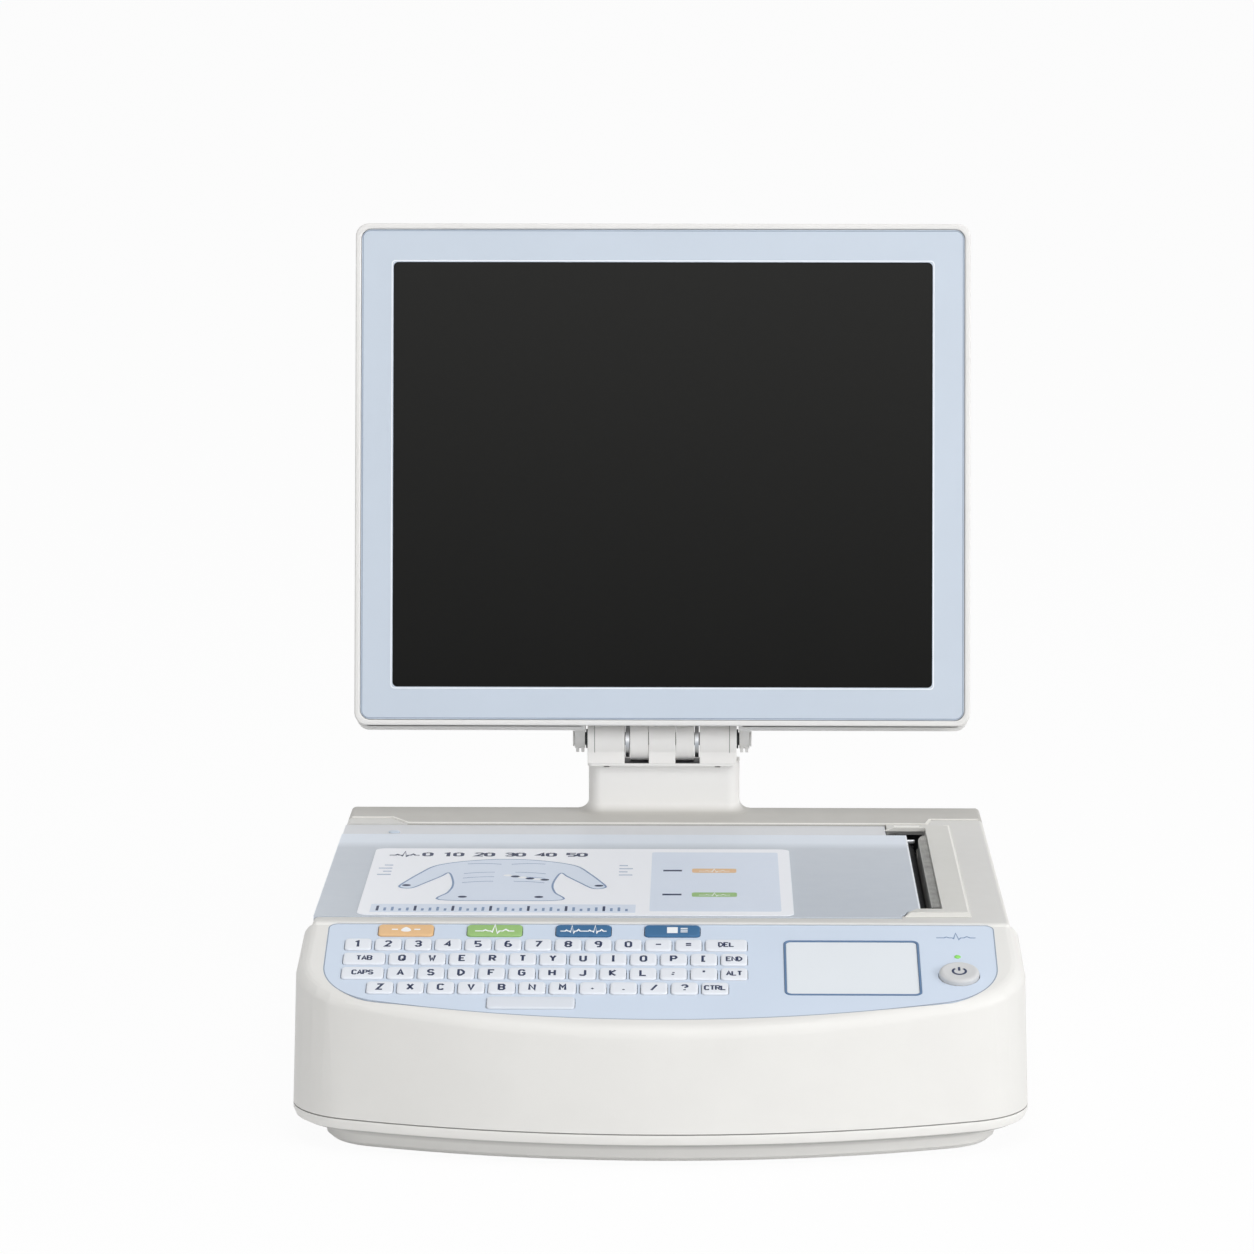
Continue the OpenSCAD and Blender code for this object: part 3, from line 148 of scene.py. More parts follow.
def rgb(r, g, b):
    """A screen colour from 0 to 255 as the linear colour that a shader takes."""
    def linear(c):
        c /= 255
        return c / 12.92 if c <= 0.04045 else ((c + 0.055) / 1.055) ** 2.4
    return (linear(r), linear(g), linear(b), 1.0)


def scaled(colour, k):
    return tuple(min(1.0, c * k) for c in colour[:3]) + (1.0,)


class Nodes:
    """Short calls for building a node tree."""

    def __init__(self, name):
        self.material = bpy.data.materials.new(name)
        self.material.use_nodes = True
        self.tree = self.material.node_tree
        self.shader = self.tree.nodes["Principled BSDF"]

    def add(self, kind, **settings):
        node = self.tree.nodes.new(kind)
        for key, value in settings.items():
            setattr(node, key, value)
        return node

    def join(self, source, target):
        self.tree.links.new(source, target)

    def place(self, stretch=(1, 1, 1)):
        """Object coordinates in millimetres, stretched along the axes."""
        coordinates = self.add("ShaderNodeTexCoord")
        mapping = self.add("ShaderNodeMapping")
        mapping.inputs["Scale"].default_value = [1000 * s for s in stretch]
        self.join(coordinates.outputs["Object"], mapping.inputs["Vector"])
        return mapping.outputs["Vector"]

    def noise(self, place, size, detail=3.0, rough=0.55):
        """Noise whose blotches are about size millimetres across."""
        noise = self.add("ShaderNodeTexNoise")
        noise.inputs["Scale"].default_value = 1 / size
        noise.inputs["Detail"].default_value = detail
        noise.inputs["Roughness"].default_value = rough
        self.join(place, noise.inputs["Vector"])
        return noise.outputs["Fac"]

    def spread(self, value, low, high, from_low=0.25, from_high=0.75):
        """A value stretched to a range."""
        spread = self.add("ShaderNodeMapRange")
        spread.inputs["From Min"].default_value = from_low
        spread.inputs["From Max"].default_value = from_high
        spread.inputs["To Min"].default_value = low
        spread.inputs["To Max"].default_value = high
        self.join(value, spread.inputs["Value"])
        return spread.outputs["Result"]

    def mix(self, factor, a, b):
        """Two colours mixed; each is a colour or a socket."""
        mix = self.add("ShaderNodeMix", data_type="RGBA")
        for value, socket in ((factor, mix.inputs[0]), (a, mix.inputs[6]), (b, mix.inputs[7])):
            if isinstance(value, bpy.types.NodeSocket):
                self.join(value, socket)
            else:
                socket.default_value = value
        return mix.outputs[2]

    def bump(self, height, strength):
        bump = self.add("ShaderNodeBump")
        bump.inputs["Strength"].default_value = strength
        bump.inputs["Distance"].default_value = 0.1 * MM
        self.join(height, bump.inputs["Height"])
        return bump.outputs["Normal"]


def plastic(name, colour, roughness=0.5, grain=0.5, depth=0.18, mottle=0.025, coat=0.0,
            wear_and_highlight=0.0, worn_and_lit_tone=1.18, bands=()):
    """Moulded plastic or printed film: fine spark-eroded grain, faint flow marks, uneven gloss, and
    paler edges that are partly rubbing wear and partly painted highlight.

    Each band is an axis, the start and the end in millimetres of the stretch over which the
    tone changes, and the tone's strength, or its colour, after it.
    """
    n = Nodes(name)
    place = n.place()
    flow = n.noise(n.place((1, 0.35, 1)), 46, 4)
    fine = n.noise(place, grain, 2)
    smears = n.noise(place, 14, 5, 0.65)
    tone = n.mix(n.spread(flow, 0, 1), scaled(colour, 1 - mottle), scaled(colour, 1 + mottle / 2))
    for axis, start, end, strength in bands:
        split = n.add("ShaderNodeSeparateXYZ")
        n.join(place, split.inputs[0])
        along = n.spread(split.outputs[axis], 0, 1, start, end)
        beyond = strength if isinstance(strength, tuple) else scaled(colour, strength)
        tone = n.mix(along, tone, beyond)
    if wear_and_highlight:
        # edges are a little paler: partly rubbing wear, partly painted highlight along the bevels
        bevel = n.add("ShaderNodeBevel", samples=4)
        bevel.inputs["Radius"].default_value = 0.0012
        geometry = n.add("ShaderNodeNewGeometry")
        turn = n.add("ShaderNodeVectorMath", operation="DOT_PRODUCT")
        n.join(bevel.outputs["Normal"], turn.inputs[0])
        n.join(geometry.outputs["Normal"], turn.inputs[1])
        edge = n.spread(turn.outputs["Value"], wear_and_highlight, 0, 0.82, 0.99)
        tone = n.mix(edge, tone, scaled(colour, worn_and_lit_tone))
    n.join(tone, n.shader.inputs["Base Color"])
    n.join(n.spread(smears, roughness - 0.06, roughness + 0.05), n.shader.inputs["Roughness"])
    n.join(n.bump(fine, depth), n.shader.inputs["Normal"])
    n.shader.inputs["Specular IOR Level"].default_value = 0.42
    n.shader.inputs["Coat Weight"].default_value = coat
    n.shader.inputs["Coat Roughness"].default_value = 0.18
    return n.material


def metal(name, colour, roughness=0.32, along=(1, 0.03, 1), scratch=0.5, mottle=0.1):
    """Bare metal with fine lines along one axis, and cloudy patches."""
    n = Nodes(name)
    lines = n.noise(n.place(along), scratch, 4, 0.7)
    clouds = n.noise(n.place(), 9, 4)
    tone = n.mix(n.spread(clouds, 0, 1), scaled(colour, 1 - mottle), scaled(colour, 1 + mottle))
    tone = n.mix(n.spread(lines, 0, 0.35), tone, scaled(colour, 0.72))
    n.join(tone, n.shader.inputs["Base Color"])
    n.join(n.spread(lines, roughness - 0.08, roughness + 0.14), n.shader.inputs["Roughness"])
    n.join(n.bump(lines, 0.2), n.shader.inputs["Normal"])
    n.shader.inputs["Metallic"].default_value = 1.0
    return n.material


def rubber(name, colour, roughness=0.75):
    """Matt rubber with a fine ground surface."""
    n = Nodes(name)
    place = n.place()
    n.join(n.mix(n.spread(n.noise(place, 6, 4), 0, 1), scaled(colour, 0.8), scaled(colour, 1.35)),
           n.shader.inputs["Base Color"])
    n.join(n.spread(n.noise(place, 2, 3), roughness - 0.1, roughness + 0.08),
           n.shader.inputs["Roughness"])
    n.join(n.bump(n.noise(place, 0.25, 3), 0.5), n.shader.inputs["Normal"])
    n.shader.inputs["Specular IOR Level"].default_value = 0.3
    return n.material


def circuit_board(name):
    """Green solder mask with paler tracks."""
    n = Nodes(name)
    cells = n.add("ShaderNodeTexBrick")
    cells.inputs["Scale"].default_value = 0.32
    cells.inputs["Mortar Size"].default_value = 0.05
    cells.inputs["Color1"].default_value = rgb(22, 92, 58)
    cells.inputs["Color2"].default_value = rgb(26, 104, 66)
    cells.inputs["Mortar"].default_value = rgb(66, 140, 96)
    n.join(n.place(), cells.inputs["Vector"])
    n.join(cells.outputs["Color"], n.shader.inputs["Base Color"])
    n.join(n.spread(n.noise(n.place(), 3), 0.3, 0.45), n.shader.inputs["Roughness"])
    return n.material


def screen(name):
    """Dark anti-glare glass, paler towards its top as a painted reflection, with faint wiping marks."""
    n = Nodes(name)
    coordinates = n.add("ShaderNodeTexCoord")
    split = n.add("ShaderNodeSeparateXYZ")
    n.join(coordinates.outputs["Object"], split.inputs[0])
    low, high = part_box("touch_glass")
    up = n.spread(split.outputs["Z"], 0, 1, low.z, high.z)
    smears = n.noise(n.place((1, 1, 0.5)), 34, 5, 0.6)
    base = n.mix(up, rgb(6, 6, 5), rgb(34, 34, 33))
    n.join(n.mix(n.spread(smears, 0, 0.2), base, rgb(28, 28, 27)), n.shader.inputs["Base Color"])
    n.join(n.spread(smears, 0.36, 0.46), n.shader.inputs["Roughness"])
    n.join(n.bump(n.noise(n.place(), 0.18, 2), 0.04), n.shader.inputs["Normal"])
    n.shader.inputs["Specular IOR Level"].default_value = 0.1
    return n.material


def lamp_lens(name, colour, strength):
    """Coloured lens with a faint glow."""
    n = Nodes(name)
    n.join(n.mix(n.spread(n.noise(n.place(), 0.8), 0, 1), scaled(colour, 0.85), scaled(colour, 1.1)),
           n.shader.inputs["Base Color"])
    n.shader.inputs["Roughness"].default_value = 0.2
    n.shader.inputs["Emission Color"].default_value = colour
    n.shader.inputs["Emission Strength"].default_value = strength
    n.shader.inputs["Coat Weight"].default_value = 0.5
    return n.material


FRONT_MM = FRONT / MM
# painted shade: the housing turns darker from 111.5 mm up to its top faces round the deck
HOUSING = plastic("housing_cream", rgb(227, 226, 223), 0.46, wear_and_highlight=0.3,
                  bands=(("Z", 111.5, 113, 0.86),))
# painted light: the hinge is paler than the housing to make up for the display's shadow on it
HINGE = plastic("hinge_white_lit", rgb(250, 248, 245), 0.44, wear_and_highlight=0.3)
TRIM = plastic("writer_cover_cream", rgb(212, 211, 206), 0.46, wear_and_highlight=0.6, worn_and_lit_tone=1.35)
DISPLAY_WHITE = plastic("display_white", rgb(226, 225, 223), 0.42, wear_and_highlight=0.25)
# painted shadow under the body's lip: the plinth darkens towards the flange, which is back to full tone
# with a slight painted highlight; the seam groove at the top is painted dark as shade
BASE = plastic("base_cream", rgb(233, 232, 229), 0.5, wear_and_highlight=0.2,
               bands=(("Z", 8, 11.8, 0.52), ("Z", 12.5, 14, 1.02), ("Z", 19.25, 19.33, 0.3)))
# painted shadow: the deck's low tone stands for the display's shadow; up the neck the band turns paler
# than the housing, painted light against the same shadow
DECK = plastic("deck_cream", rgb(187, 185, 180), 0.5, grain=0.6, depth=0.25, wear_and_highlight=0.6, worn_and_lit_tone=1.5,
               bands=(("Z", 114, 119, rgb(244, 243, 241)),))
OVERLAY = plastic("overlay_blue", rgb(206, 218, 234), 0.42, grain=0.35, depth=0.12, mottle=0.02)
# painted highlight: the cover's rear part, from 322 mm back, is paler for the light on its curve;
# behind 366.8 mm the rear strip has a greyer tone
COVER = plastic("cover_blue_grey", rgb(194, 201, 210), 0.42, grain=0.45, depth=0.14, mottle=0.02,
                wear_and_highlight=0.5, worn_and_lit_tone=1.5, bands=(("Y", FRONT_MM + 322, FRONT_MM + 340, 1.36),
                                           ("Y", FRONT_MM + 366.6, FRONT_MM + 366.8,
                                            rgb(213, 215, 219))))
FACE = plastic("face_blue", rgb(196, 206, 218), 0.4, grain=0.4, depth=0.1, mottle=0.015, wear_and_highlight=0.3)
KEY = plastic("key_white", rgb(228, 232, 239), 0.4, grain=0.3, depth=0.1, mottle=0.015)
SPACE_KEY = plastic("space_key_white", rgb(218, 223, 231), 0.4, grain=0.3, depth=0.1, mottle=0.015)
BUTTON = plastic("button_white", rgb(203, 204, 205), 0.38, grain=0.4, depth=0.1, wear_and_highlight=0.3)
ORANGE = plastic("key_orange", rgb(228, 187, 138), 0.4, grain=0.3, depth=0.1)
GREEN = plastic("key_green", rgb(150, 190, 117), 0.4, grain=0.3, depth=0.1)
BLUE = plastic("key_blue", rgb(50, 103, 147), 0.4, grain=0.3, depth=0.1)
BORDER = plastic("border_blue", rgb(92, 122, 158), 0.38, grain=0.3, depth=0.08)
PAD = plastic("pad_pale", rgb(226, 231, 236), 0.5, grain=0.22, depth=0.2, mottle=0.012)
LABEL = plastic("label_white", rgb(246, 248, 253), 0.46, grain=0.5, depth=0.05, mottle=0.008)
INK = plastic("ink_navy", rgb(24, 40, 76), 0.5, grain=0.2, depth=0.05)
INK_PALE = plastic("ink_pale_blue", rgb(221, 230, 244), 0.46, grain=0.3, depth=0.05)
INK_LINE = plastic("ink_line_blue", rgb(122, 146, 180), 0.46, grain=0.3, depth=0.05)
INK_WHITE = plastic("ink_white", rgb(243, 245, 248), 0.4, grain=0.2, depth=0.05)
# painted shade: dark grey-blue for shade lines along the overlay's and the face plate's edges
SEAM_SHADE = plastic("seam_shade_grey_blue", rgb(146, 158, 176), 0.5, grain=0.3, depth=0.05)
# painted highlight: pale cream for the light on rounded edges of the deck and the writer's cover
HIGHLIGHT_CREAM = plastic("highlight_cream", rgb(242, 240, 235), 0.4, grain=0.3, depth=0.05)
# painted highlight: pale blue-white for the light on the edges of the screen opening and the paper
# cover
HIGHLIGHT_PALE = plastic("highlight_pale", rgb(236, 240, 246), 0.34, grain=0.3, depth=0.05)
CAP_LINE = plastic("cap_line_grey", rgb(158, 157, 153), 0.5, grain=0.3, depth=0.05)
DARK = plastic("dark_plastic", rgb(52, 54, 57), 0.5, grain=0.6, depth=0.3)
shaft_low, shaft_high = (v.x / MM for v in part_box("hinge_shaft"))
# painted shade: the shaft is near black between its ends, where it shows in the slots between the
# knuckles
SHAFT = plastic("hinge_shaft_slot_shade", rgb(228, 227, 224), 0.45, grain=0.4, depth=0.1,
                bands=(("X", shaft_low + 3, shaft_low + 3.2, 0.04),
                       ("X", shaft_high - 3.2, shaft_high - 3, 1)))
TRAY = plastic("tray_grey", rgb(70, 73, 78), 0.55, grain=0.7, depth=0.4)
PANEL = plastic("rear_panel_grey", rgb(120, 122, 124), 0.5, grain=0.5, depth=0.25, wear_and_highlight=0.3)
ACETAL = plastic("gear_black", rgb(46, 46, 48), 0.36, grain=0.8, depth=0.08)
BATTERY = plastic("battery_wrap", rgb(52, 62, 112), 0.28, grain=1.2, depth=0.1, coat=0.3)
STEEL = metal("steel", (0.62, 0.63, 0.65, 1))
DARK_STEEL = metal("motor_black", (0.09, 0.09, 0.1, 1), 0.45)
HEAD = metal("head_aluminium", (0.36, 0.355, 0.335, 1), 0.5, (1, 0.06, 1), 0.9, 0.35)
BRASS = metal("brass", (0.78, 0.62, 0.3, 1), 0.3)
BOARD = circuit_board("board_green")
RUBBER = rubber("rubber_black", rgb(38, 38, 38))
PLATEN = rubber("platen_black", rgb(34, 34, 36), 0.6)
MAT = rubber("mat_grey", rgb(96, 102, 112), 0.7)
SCREEN = screen("screen_glass")
LED = lamp_lens("led_green", rgb(120, 196, 78), 0.25)

FINISHES = {
    HOUSING: ["top_housing"],
    HINGE: ["hinge_knuckles", "hinge_drum"],
    TRIM: ["writer_cover"],
    BASE: ["base_pan"],
    DISPLAY_WHITE: ["display_frame", "display_back"],
    DECK: ["rear_deck"],
    OVERLAY: ["keyboard_overlay"],
    COVER: ["paper_cover"],
    FACE: ["face_plate"],
    LABEL: ["cover_label"],
    BORDER: ["trackpad_frame"],
    PAD: ["trackpad"],
    LED: ["power_led"],
    TRAY: ["paper_tray"],
    PANEL: ["rear_panel"],
    # hinge_bracket is dark so the gaps under the knuckles look black: painted shade
    DARK: ["mains_inlet", "patient_port", "speaker", "cover_latch", "friction_washers", "lcd_panel",
           "hinge_bracket"],
    SHAFT: ["hinge_shaft"],
    ACETAL: ["roller_gear", "idler_gear"],
    BATTERY: ["battery_pack"],
    STEEL: ["base_screws", "roller_shaft", "head_springs", "latch_spring", "power_supply",
            "battery_strap", "display_arms", "display_chassis", "data_ports"],
    DARK_STEEL: ["stepper_motor", "roller_carrier", "writer_frame"],
    HEAD: ["print_head"],
    BRASS: ["motor_pinion", "ground_lug"],
    BOARD: ["main_board", "keyboard_board", "display_board"],
    RUBBER: ["rubber_feet"],
    PLATEN: ["platen_roller"],
    MAT: ["key_mat"],
    SCREEN: ["touch_glass"],
    KEY: ["key_row_1", "key_row_2", "key_row_3", "key_row_4", "power_button"],
    SPACE_KEY: ["space_bar"],
    ORANGE: ["function_key_1"],
    GREEN: ["function_key_2"],
    BLUE: ["function_key_3", "function_key_4"],
}
for material, names in FINISHES.items():
    for name in names:
        for slot in frame["nodes"][name].material_slots:
            slot.material = material


# ---- soft edges on the construction's own meshes ----

SHARP = 32                              # degrees; steeper edges are rounded and stay sharp


def smoothing():
    """A modifier's node group that shades smooth, and keeps edges above the sharp angle."""
    group = bpy.data.node_groups.new(f"smooth_{SHARP}", "GeometryNodeTree")
    group.interface.new_socket("Geometry", in_out="INPUT", socket_type="NodeSocketGeometry")
    group.interface.new_socket("Geometry", in_out="OUTPUT", socket_type="NodeSocketGeometry")
    add, join = group.nodes.new, group.links.new
    start, end = add("NodeGroupInput"), add("NodeGroupOutput")
    faces = add("GeometryNodeSetShadeSmooth")
    faces.domain = "FACE"
    edges = add("GeometryNodeSetShadeSmooth")
    edges.domain = "EDGE"
    edges.inputs["Shade Smooth"].default_value = False
    turn = add("GeometryNodeInputMeshEdgeAngle")
    sharp = add("FunctionNodeCompare")
    sharp.operation = "GREATER_THAN"
    sharp.inputs["B"].default_value = math.radians(SHARP)
    join(start.outputs[0], faces.inputs["Geometry"])
    join(faces.outputs[0], edges.inputs["Geometry"])
    join(turn.outputs["Unsigned Angle"], sharp.inputs["A"])
    join(sharp.outputs[0], edges.inputs["Selection"])
    join(edges.outputs[0], end.inputs[0])
    return group


SMOOTH = smoothing()


def soften(obj, width):
    """Rounds an object's edges by a width in millimetres, if any, and shades it smooth."""
    weld = obj.modifiers.new("weld", "WELD")
    weld.merge_threshold = 0.002 * MM
    if width:
        bevel = obj.modifiers.new("bevel", "BEVEL")
        bevel.width = width * MM
        bevel.segments = 3
        bevel.limit_method = "ANGLE"
        bevel.angle_limit = math.radians(SHARP)
        bevel.use_clamp_overlap = True
        bevel.miter_outer = "MITER_ARC"
    smooth = obj.modifiers.new("smooth", "NODES")
    smooth.node_group = SMOOTH
    normals = obj.modifiers.new("flat_faces_stay_flat", "WEIGHTED_NORMAL")
    normals.keep_sharp = True


EDGES = {
    "top_housing": 0.5, "base_pan": 0.45, "rear_deck": 0.6, "rear_panel": 0.4, "writer_cover": 0.6,
    "paper_cover": 0.6, "cover_label": 0.15, "keyboard_overlay": 0.25, "trackpad_frame": 0.25,
    "trackpad": 0.15, "display_frame": 1.0, "display_back": 0.8, "face_plate": 0.45,
    "touch_glass": 0.3, "hinge_drum": 0.5, "hinge_knuckles": 0.6, "hinge_shaft": 0.4,
    "cover_latch": 0.4, "print_head": 0.3, "roller_carrier": 0.2, "mains_inlet": 0.4,
    "patient_port": 0.4, "data_ports": 0.15, "ground_lug": 0.3, "rubber_feet": 0.3,
    "paper_tray": 0.4, "platen_roller": 0.3,
}
for name, obj in frame["nodes"].items():
    soften(obj, EDGES.get(name, 0.0))


# ---- mesh helpers ----

def rounded_loop(w, d, r, steps=6):
    """Corner points of a rounded rectangle about the origin, anticlockwise."""
    r = max(min(r, w / 2 - 1e-6, d / 2 - 1e-6), 1e-6)
    points = []
    for turn, (sx, sy) in enumerate(((1, 1), (-1, 1), (-1, -1), (1, -1))):
        for i in range(steps + 1):
            a = math.radians(90 * (turn + i / steps))
            points.append((sx * (w / 2 - r) + r * math.cos(a), sy * (d / 2 - r) + r * math.sin(a)))
    return points


def skin(bm, loops):
    """A closed skin through loops of 3-D points, capped at both ends."""
    rings = [[bm.verts.new(p) for p in loop] for loop in loops]
    faces = [bm.faces.new(reversed(rings[0])), bm.faces.new(rings[-1])]
    for low, high in zip(rings, rings[1:]):
        for i in range(len(low)):
            j = (i + 1) % len(low)
            faces.append(bm.faces.new((low[i], low[j], high[j], high[i])))
    for face in faces:
        face.smooth = True


def pad(bm, centre, size, radius, profile):
    """A raised pad: a rounded rectangle drawn in by each inset of the profile at each height."""
    skin(bm, [[(centre[0] + x, centre[1] + y, z * MM)
               for x, y in rounded_loop(size[0] - 2 * inset * MM, size[1] - 2 * inset * MM,
                                        radius - inset * MM * 0.6)]
              for inset, z in profile])


def piece(name, bm, materials, place, body, sharp=35):
    """An object from a bmesh drawn in a plane's coordinates, riding on a body."""
    bmesh.ops.recalc_face_normals(bm, faces=bm.faces)
    mesh = bpy.data.meshes.new(name)
    bm.to_mesh(mesh)
    bm.free()
    mesh.transform(place)
    for material in materials:
        mesh.materials.append(material)
    mesh.set_sharp_from_angle(angle=math.radians(sharp))
    obj = bpy.data.objects.new(name, mesh)
    bpy.context.scene.collection.objects.link(obj)
    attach(obj, body)
    return obj


PRINT = 0.03 * MM                       # thickness of printed ink


def sheet(bm, points, z, slot=0, thick=PRINT):
    """A thin closed plate over an outline at a height."""
    top = [bm.verts.new((x, y, z + thick)) for x, y in points]
    low = [bm.verts.new((x, y, z)) for x, y in points]
    faces = [bm.faces.new(top), bm.faces.new(reversed(low))]
    for i in range(len(points)):
        j = (i + 1) % len(points)
        faces.append(bm.faces.new((low[i], low[j], top[j], top[i])))
    for face in faces:
        face.material_index = slot


def stroke(bm, points, width, z, slot=0, closed=False, thick=PRINT):
    """A line of a width through points, as thin as print unless a thickness is given."""
    path = [Vector(p) for p in points]
    if closed:
        path.append(path[0])
    left, right = [], []
    for i, p in enumerate(path):
        before = path[i] - path[i - 1] if i else path[1] - path[0]
        after = path[i + 1] - path[i] if i + 1 < len(path) else before
        if closed and i in (0, len(path) - 1):
            before, after = path[-1] - path[-2], path[1] - path[0]
        along = (before.normalized() + after.normalized())
        along = along.normalized() if along.length > 1e-9 else after.normalized()
        side = Vector((-along.y, along.x)) * width / 2 / max(along.dot(after.normalized()), 0.5)
        left.append(p + side)
        right.append(p - side)
    for i in range(len(path) - 1):
        sheet(bm, [right[i], right[i + 1], left[i + 1], left[i]], z, slot, thick)


def disc(bm, centre, radius, z, slot=0, steps=20):
    sheet(bm, [(centre[0] + radius * math.cos(2 * math.pi * i / steps),
                centre[1] + radius * math.sin(2 * math.pi * i / steps)) for i in range(steps)],
          z, slot)


# Each glyph is a set of lines, and each line a row of x and y digits on a grid 4 wide and 6 high
GLYPHS = {
    "A": "002640 1232", "B": "00063645443303 3342413000", "C": "4536160501103041",
    "D": "0006264442200000", "E": "46060040 0333", "F": "460600 0333",
    "G": "45361605011030414323", "H": "0600 4640 0343", "I": "1636 2620 1030", "J": "4641301001",
    "K": "0600 460340", "L": "060040", "M": "0006234640", "N": "00064046",
    "O": "16050110304145361626", "P": "00063645443303", "Q": "16050110304145361626 2240",
    "R": "00063645443303 2340", "S": "453616050413334241301001", "T": "0646 2620",
    "U": "060110304146", "V": "062046", "W": "0610233046", "X": "0640 0046", "Y": "062346 2320",
    "Z": "06460040", "0": "16050110304145361626", "1": "052620 1030", "2": "05163645440040",
    "3": "05163645443313 334241301001", "4": "30360242", "5": "4606033342413000",
    "6": "36160401103041423303", "7": "064610", "8": "33444536160504131302011030414233 1333",
    "9": "10304245361605041343", " ": "", "-": "0343", "=": "0242 0444", "[": "36161030",
    ";": "2423 2211", "'": "2624", ",": "2211", ".": "2120", "/": "0046", "?": "051636454423 2120",
}


def lettering(bm, text, centre, height, z, bold, slot=0):
    """Plain sign-writer's capitals drawn with strokes; bold is a stroke's share of the height."""
    wide = 0.76
    unit = height / 6
    step = 5.4 * unit * wide
    for place, char in enumerate(text):
        x = centre[0] + (place - (len(text) - 1) / 2) * step - 2 * unit * wide
        y = centre[1] - height / 2
        for line in GLYPHS[char].split():
            stroke(bm, [(x + int(line[i]) * unit * wide, y + int(line[i + 1]) * unit)
                        for i in range(0, len(line), 2)], bold * height, z, slot)


# ---- keys ----

KEY_TOP = 1.0
KEY_PROFILE = [(0, -2.4), (0, 0.2), (0.08, 0.5), (0.3, 0.76), (0.75, 0.93), (1.5, KEY_TOP),
               (3.2, KEY_TOP + 0.04)]
KEY_RADIUS = 2.4 * MM
LEGEND_Z = (KEY_TOP + 0.05) * MM
KEY_ROWS = {                            # legends from left to right
    "key_row_1": "1 2 3 4 5 6 7 8 9 0 - = DEL",
    "key_row_2": "TAB Q W E R T Y U I O P [ END",
    "key_row_3": "CAPS A S D F G H J K L ; ' ALT",
    "key_row_4": "Z X C V B N M , . / ? CTRL",
}
BODIES = {"key_row_1": "row_1", "key_row_2": "row_2", "key_row_3": "row_3", "key_row_4": "row_4",
          "space_bar": "space", "function_key_1": "function_1", "function_key_2": "function_2",
          "function_key_3": "function_3", "function_key_4": "function_4"}


def key_pads(node, material):
    """Soft pads in place of a node's keys. Gives the boxes of their tops."""
    boxes = solids_in(node, KEYBOARD, 0.5 * MM)
    bm = bmesh.new()
    for low, high in boxes:
        pad(bm, ((low.x + high.x) / 2, (low.y + high.y) / 2), (high.x - low.x, high.y - low.y),
            KEY_RADIUS, KEY_PROFILE)
    pads = piece(f"{node}_pads", bm, [material], KEYBOARD, BODIES[node])
    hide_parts(node)
    return boxes


def middle(box):
    return ((box[0].x + box[1].x) / 2, (box[0].y + box[1].y) / 2)


for node, legends in KEY_ROWS.items():
    bm = bmesh.new()
    for box, legend in zip(key_pads(node, KEY), legends.split()):
        lettering(bm, legend, middle(box), (5.8 if len(legend) == 1 else 4.4) * MM, LEGEND_Z, 0.23)
    piece(f"{node}_legends", bm, [INK], KEYBOARD, BODIES[node])
key_pads("space_bar", SPACE_KEY)

FUNCTION_PAINT = {"function_key_1": ORANGE, "function_key_2": GREEN, "function_key_3": BLUE,
                  "function_key_4": BLUE}


def pulse(centre, w, h):
    """Points of one plain heart beat trace."""
    shape = [(-0.5, 0), (-0.3, 0), (-0.24, 0.16), (-0.17, 0), (-0.1, 0), (-0.06, -0.16),
             (0, 0.9), (0.07, -0.34), (0.12, 0), (0.2, 0), (0.28, 0.24), (0.36, 0), (0.5, 0)]
    return [(centre[0] + x * w, centre[1] + (y - 0.2) * h) for x, y in shape]


for node, material in FUNCTION_PAINT.items():
    box = key_pads(node, material)[0]
    x, y = middle(box)
    bm = bmesh.new()
    if node == "function_key_1":        # a drop shape over a line
        sheet(bm, [(x + 2.6 * MM * math.cos(a) * (1 - 0.45 * math.sin(a)), y + 2.7 * MM * math.sin(a))
                   for a in (2 * math.pi * i / 24 for i in range(24))], LEGEND_Z)
        stroke(bm, [(x + 4.6 * MM, y), (x + 8 * MM, y)], 1.3 * MM, LEGEND_Z)
        stroke(bm, [(x - 8 * MM, y), (x - 4.6 * MM, y)], 1.3 * MM, LEGEND_Z)
    elif node == "function_key_2":      # a beat
        stroke(bm, pulse((x, y), 22 * MM, 8 * MM), 1.1 * MM, LEGEND_Z)
    elif node == "function_key_3":      # two beats on a line
        for side in (-1, 1):
            stroke(bm, pulse((x + side * 6.5 * MM, y), 13 * MM, 7.5 * MM), 1 * MM, LEGEND_Z)
    else:                               # a sheet with lines
        sheet(bm, [(x + sx * 3 * MM, y + sy * 3.4 * MM)
                   for sx, sy in ((-1, -1), (1, -1), (1, 1), (-1, 1))], LEGEND_Z)
        for i in (-1, 0, 1):
            stroke(bm, [(x + 4.6 * MM, y + i * 2 * MM), (x + 8.6 * MM, y + i * 2 * MM)], 1 * MM,
                   LEGEND_Z)
    piece(f"{node}_sign", bm, [INK_WHITE], KEYBOARD, BODIES[node])

# ---- power button and lamp ----

low, high = box_in("power_button", KEYBOARD)
button_middle = ((low.x + high.x) / 2, (low.y + high.y) / 2)
button_w = high.x - low.x - 1.8 * MM    # without its flange
BUTTON_PROFILE = [(0, -2.4), (0, 1.5), (0.15, 2.1), (0.5, 2.6), (1.0, 2.95), (1.7, 3.2), (2.4, 3.25),
                  (3.4, 3.1), (5.5, 2.95), (9, 2.9)]
bm = bmesh.new()
skin(bm, [[(button_middle[0] + (button_w / 2 - inset * MM) * math.cos(2 * math.pi * i / 64),
            button_middle[1] + (button_w / 2 - inset * MM) * math.sin(2 * math.pi * i / 64), z * MM)
           for i in range(64)] for inset, z in BUTTON_PROFILE])
cap = piece("power_button_cap", bm, [BUTTON], KEYBOARD, "power", sharp=60)
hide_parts("power_button")

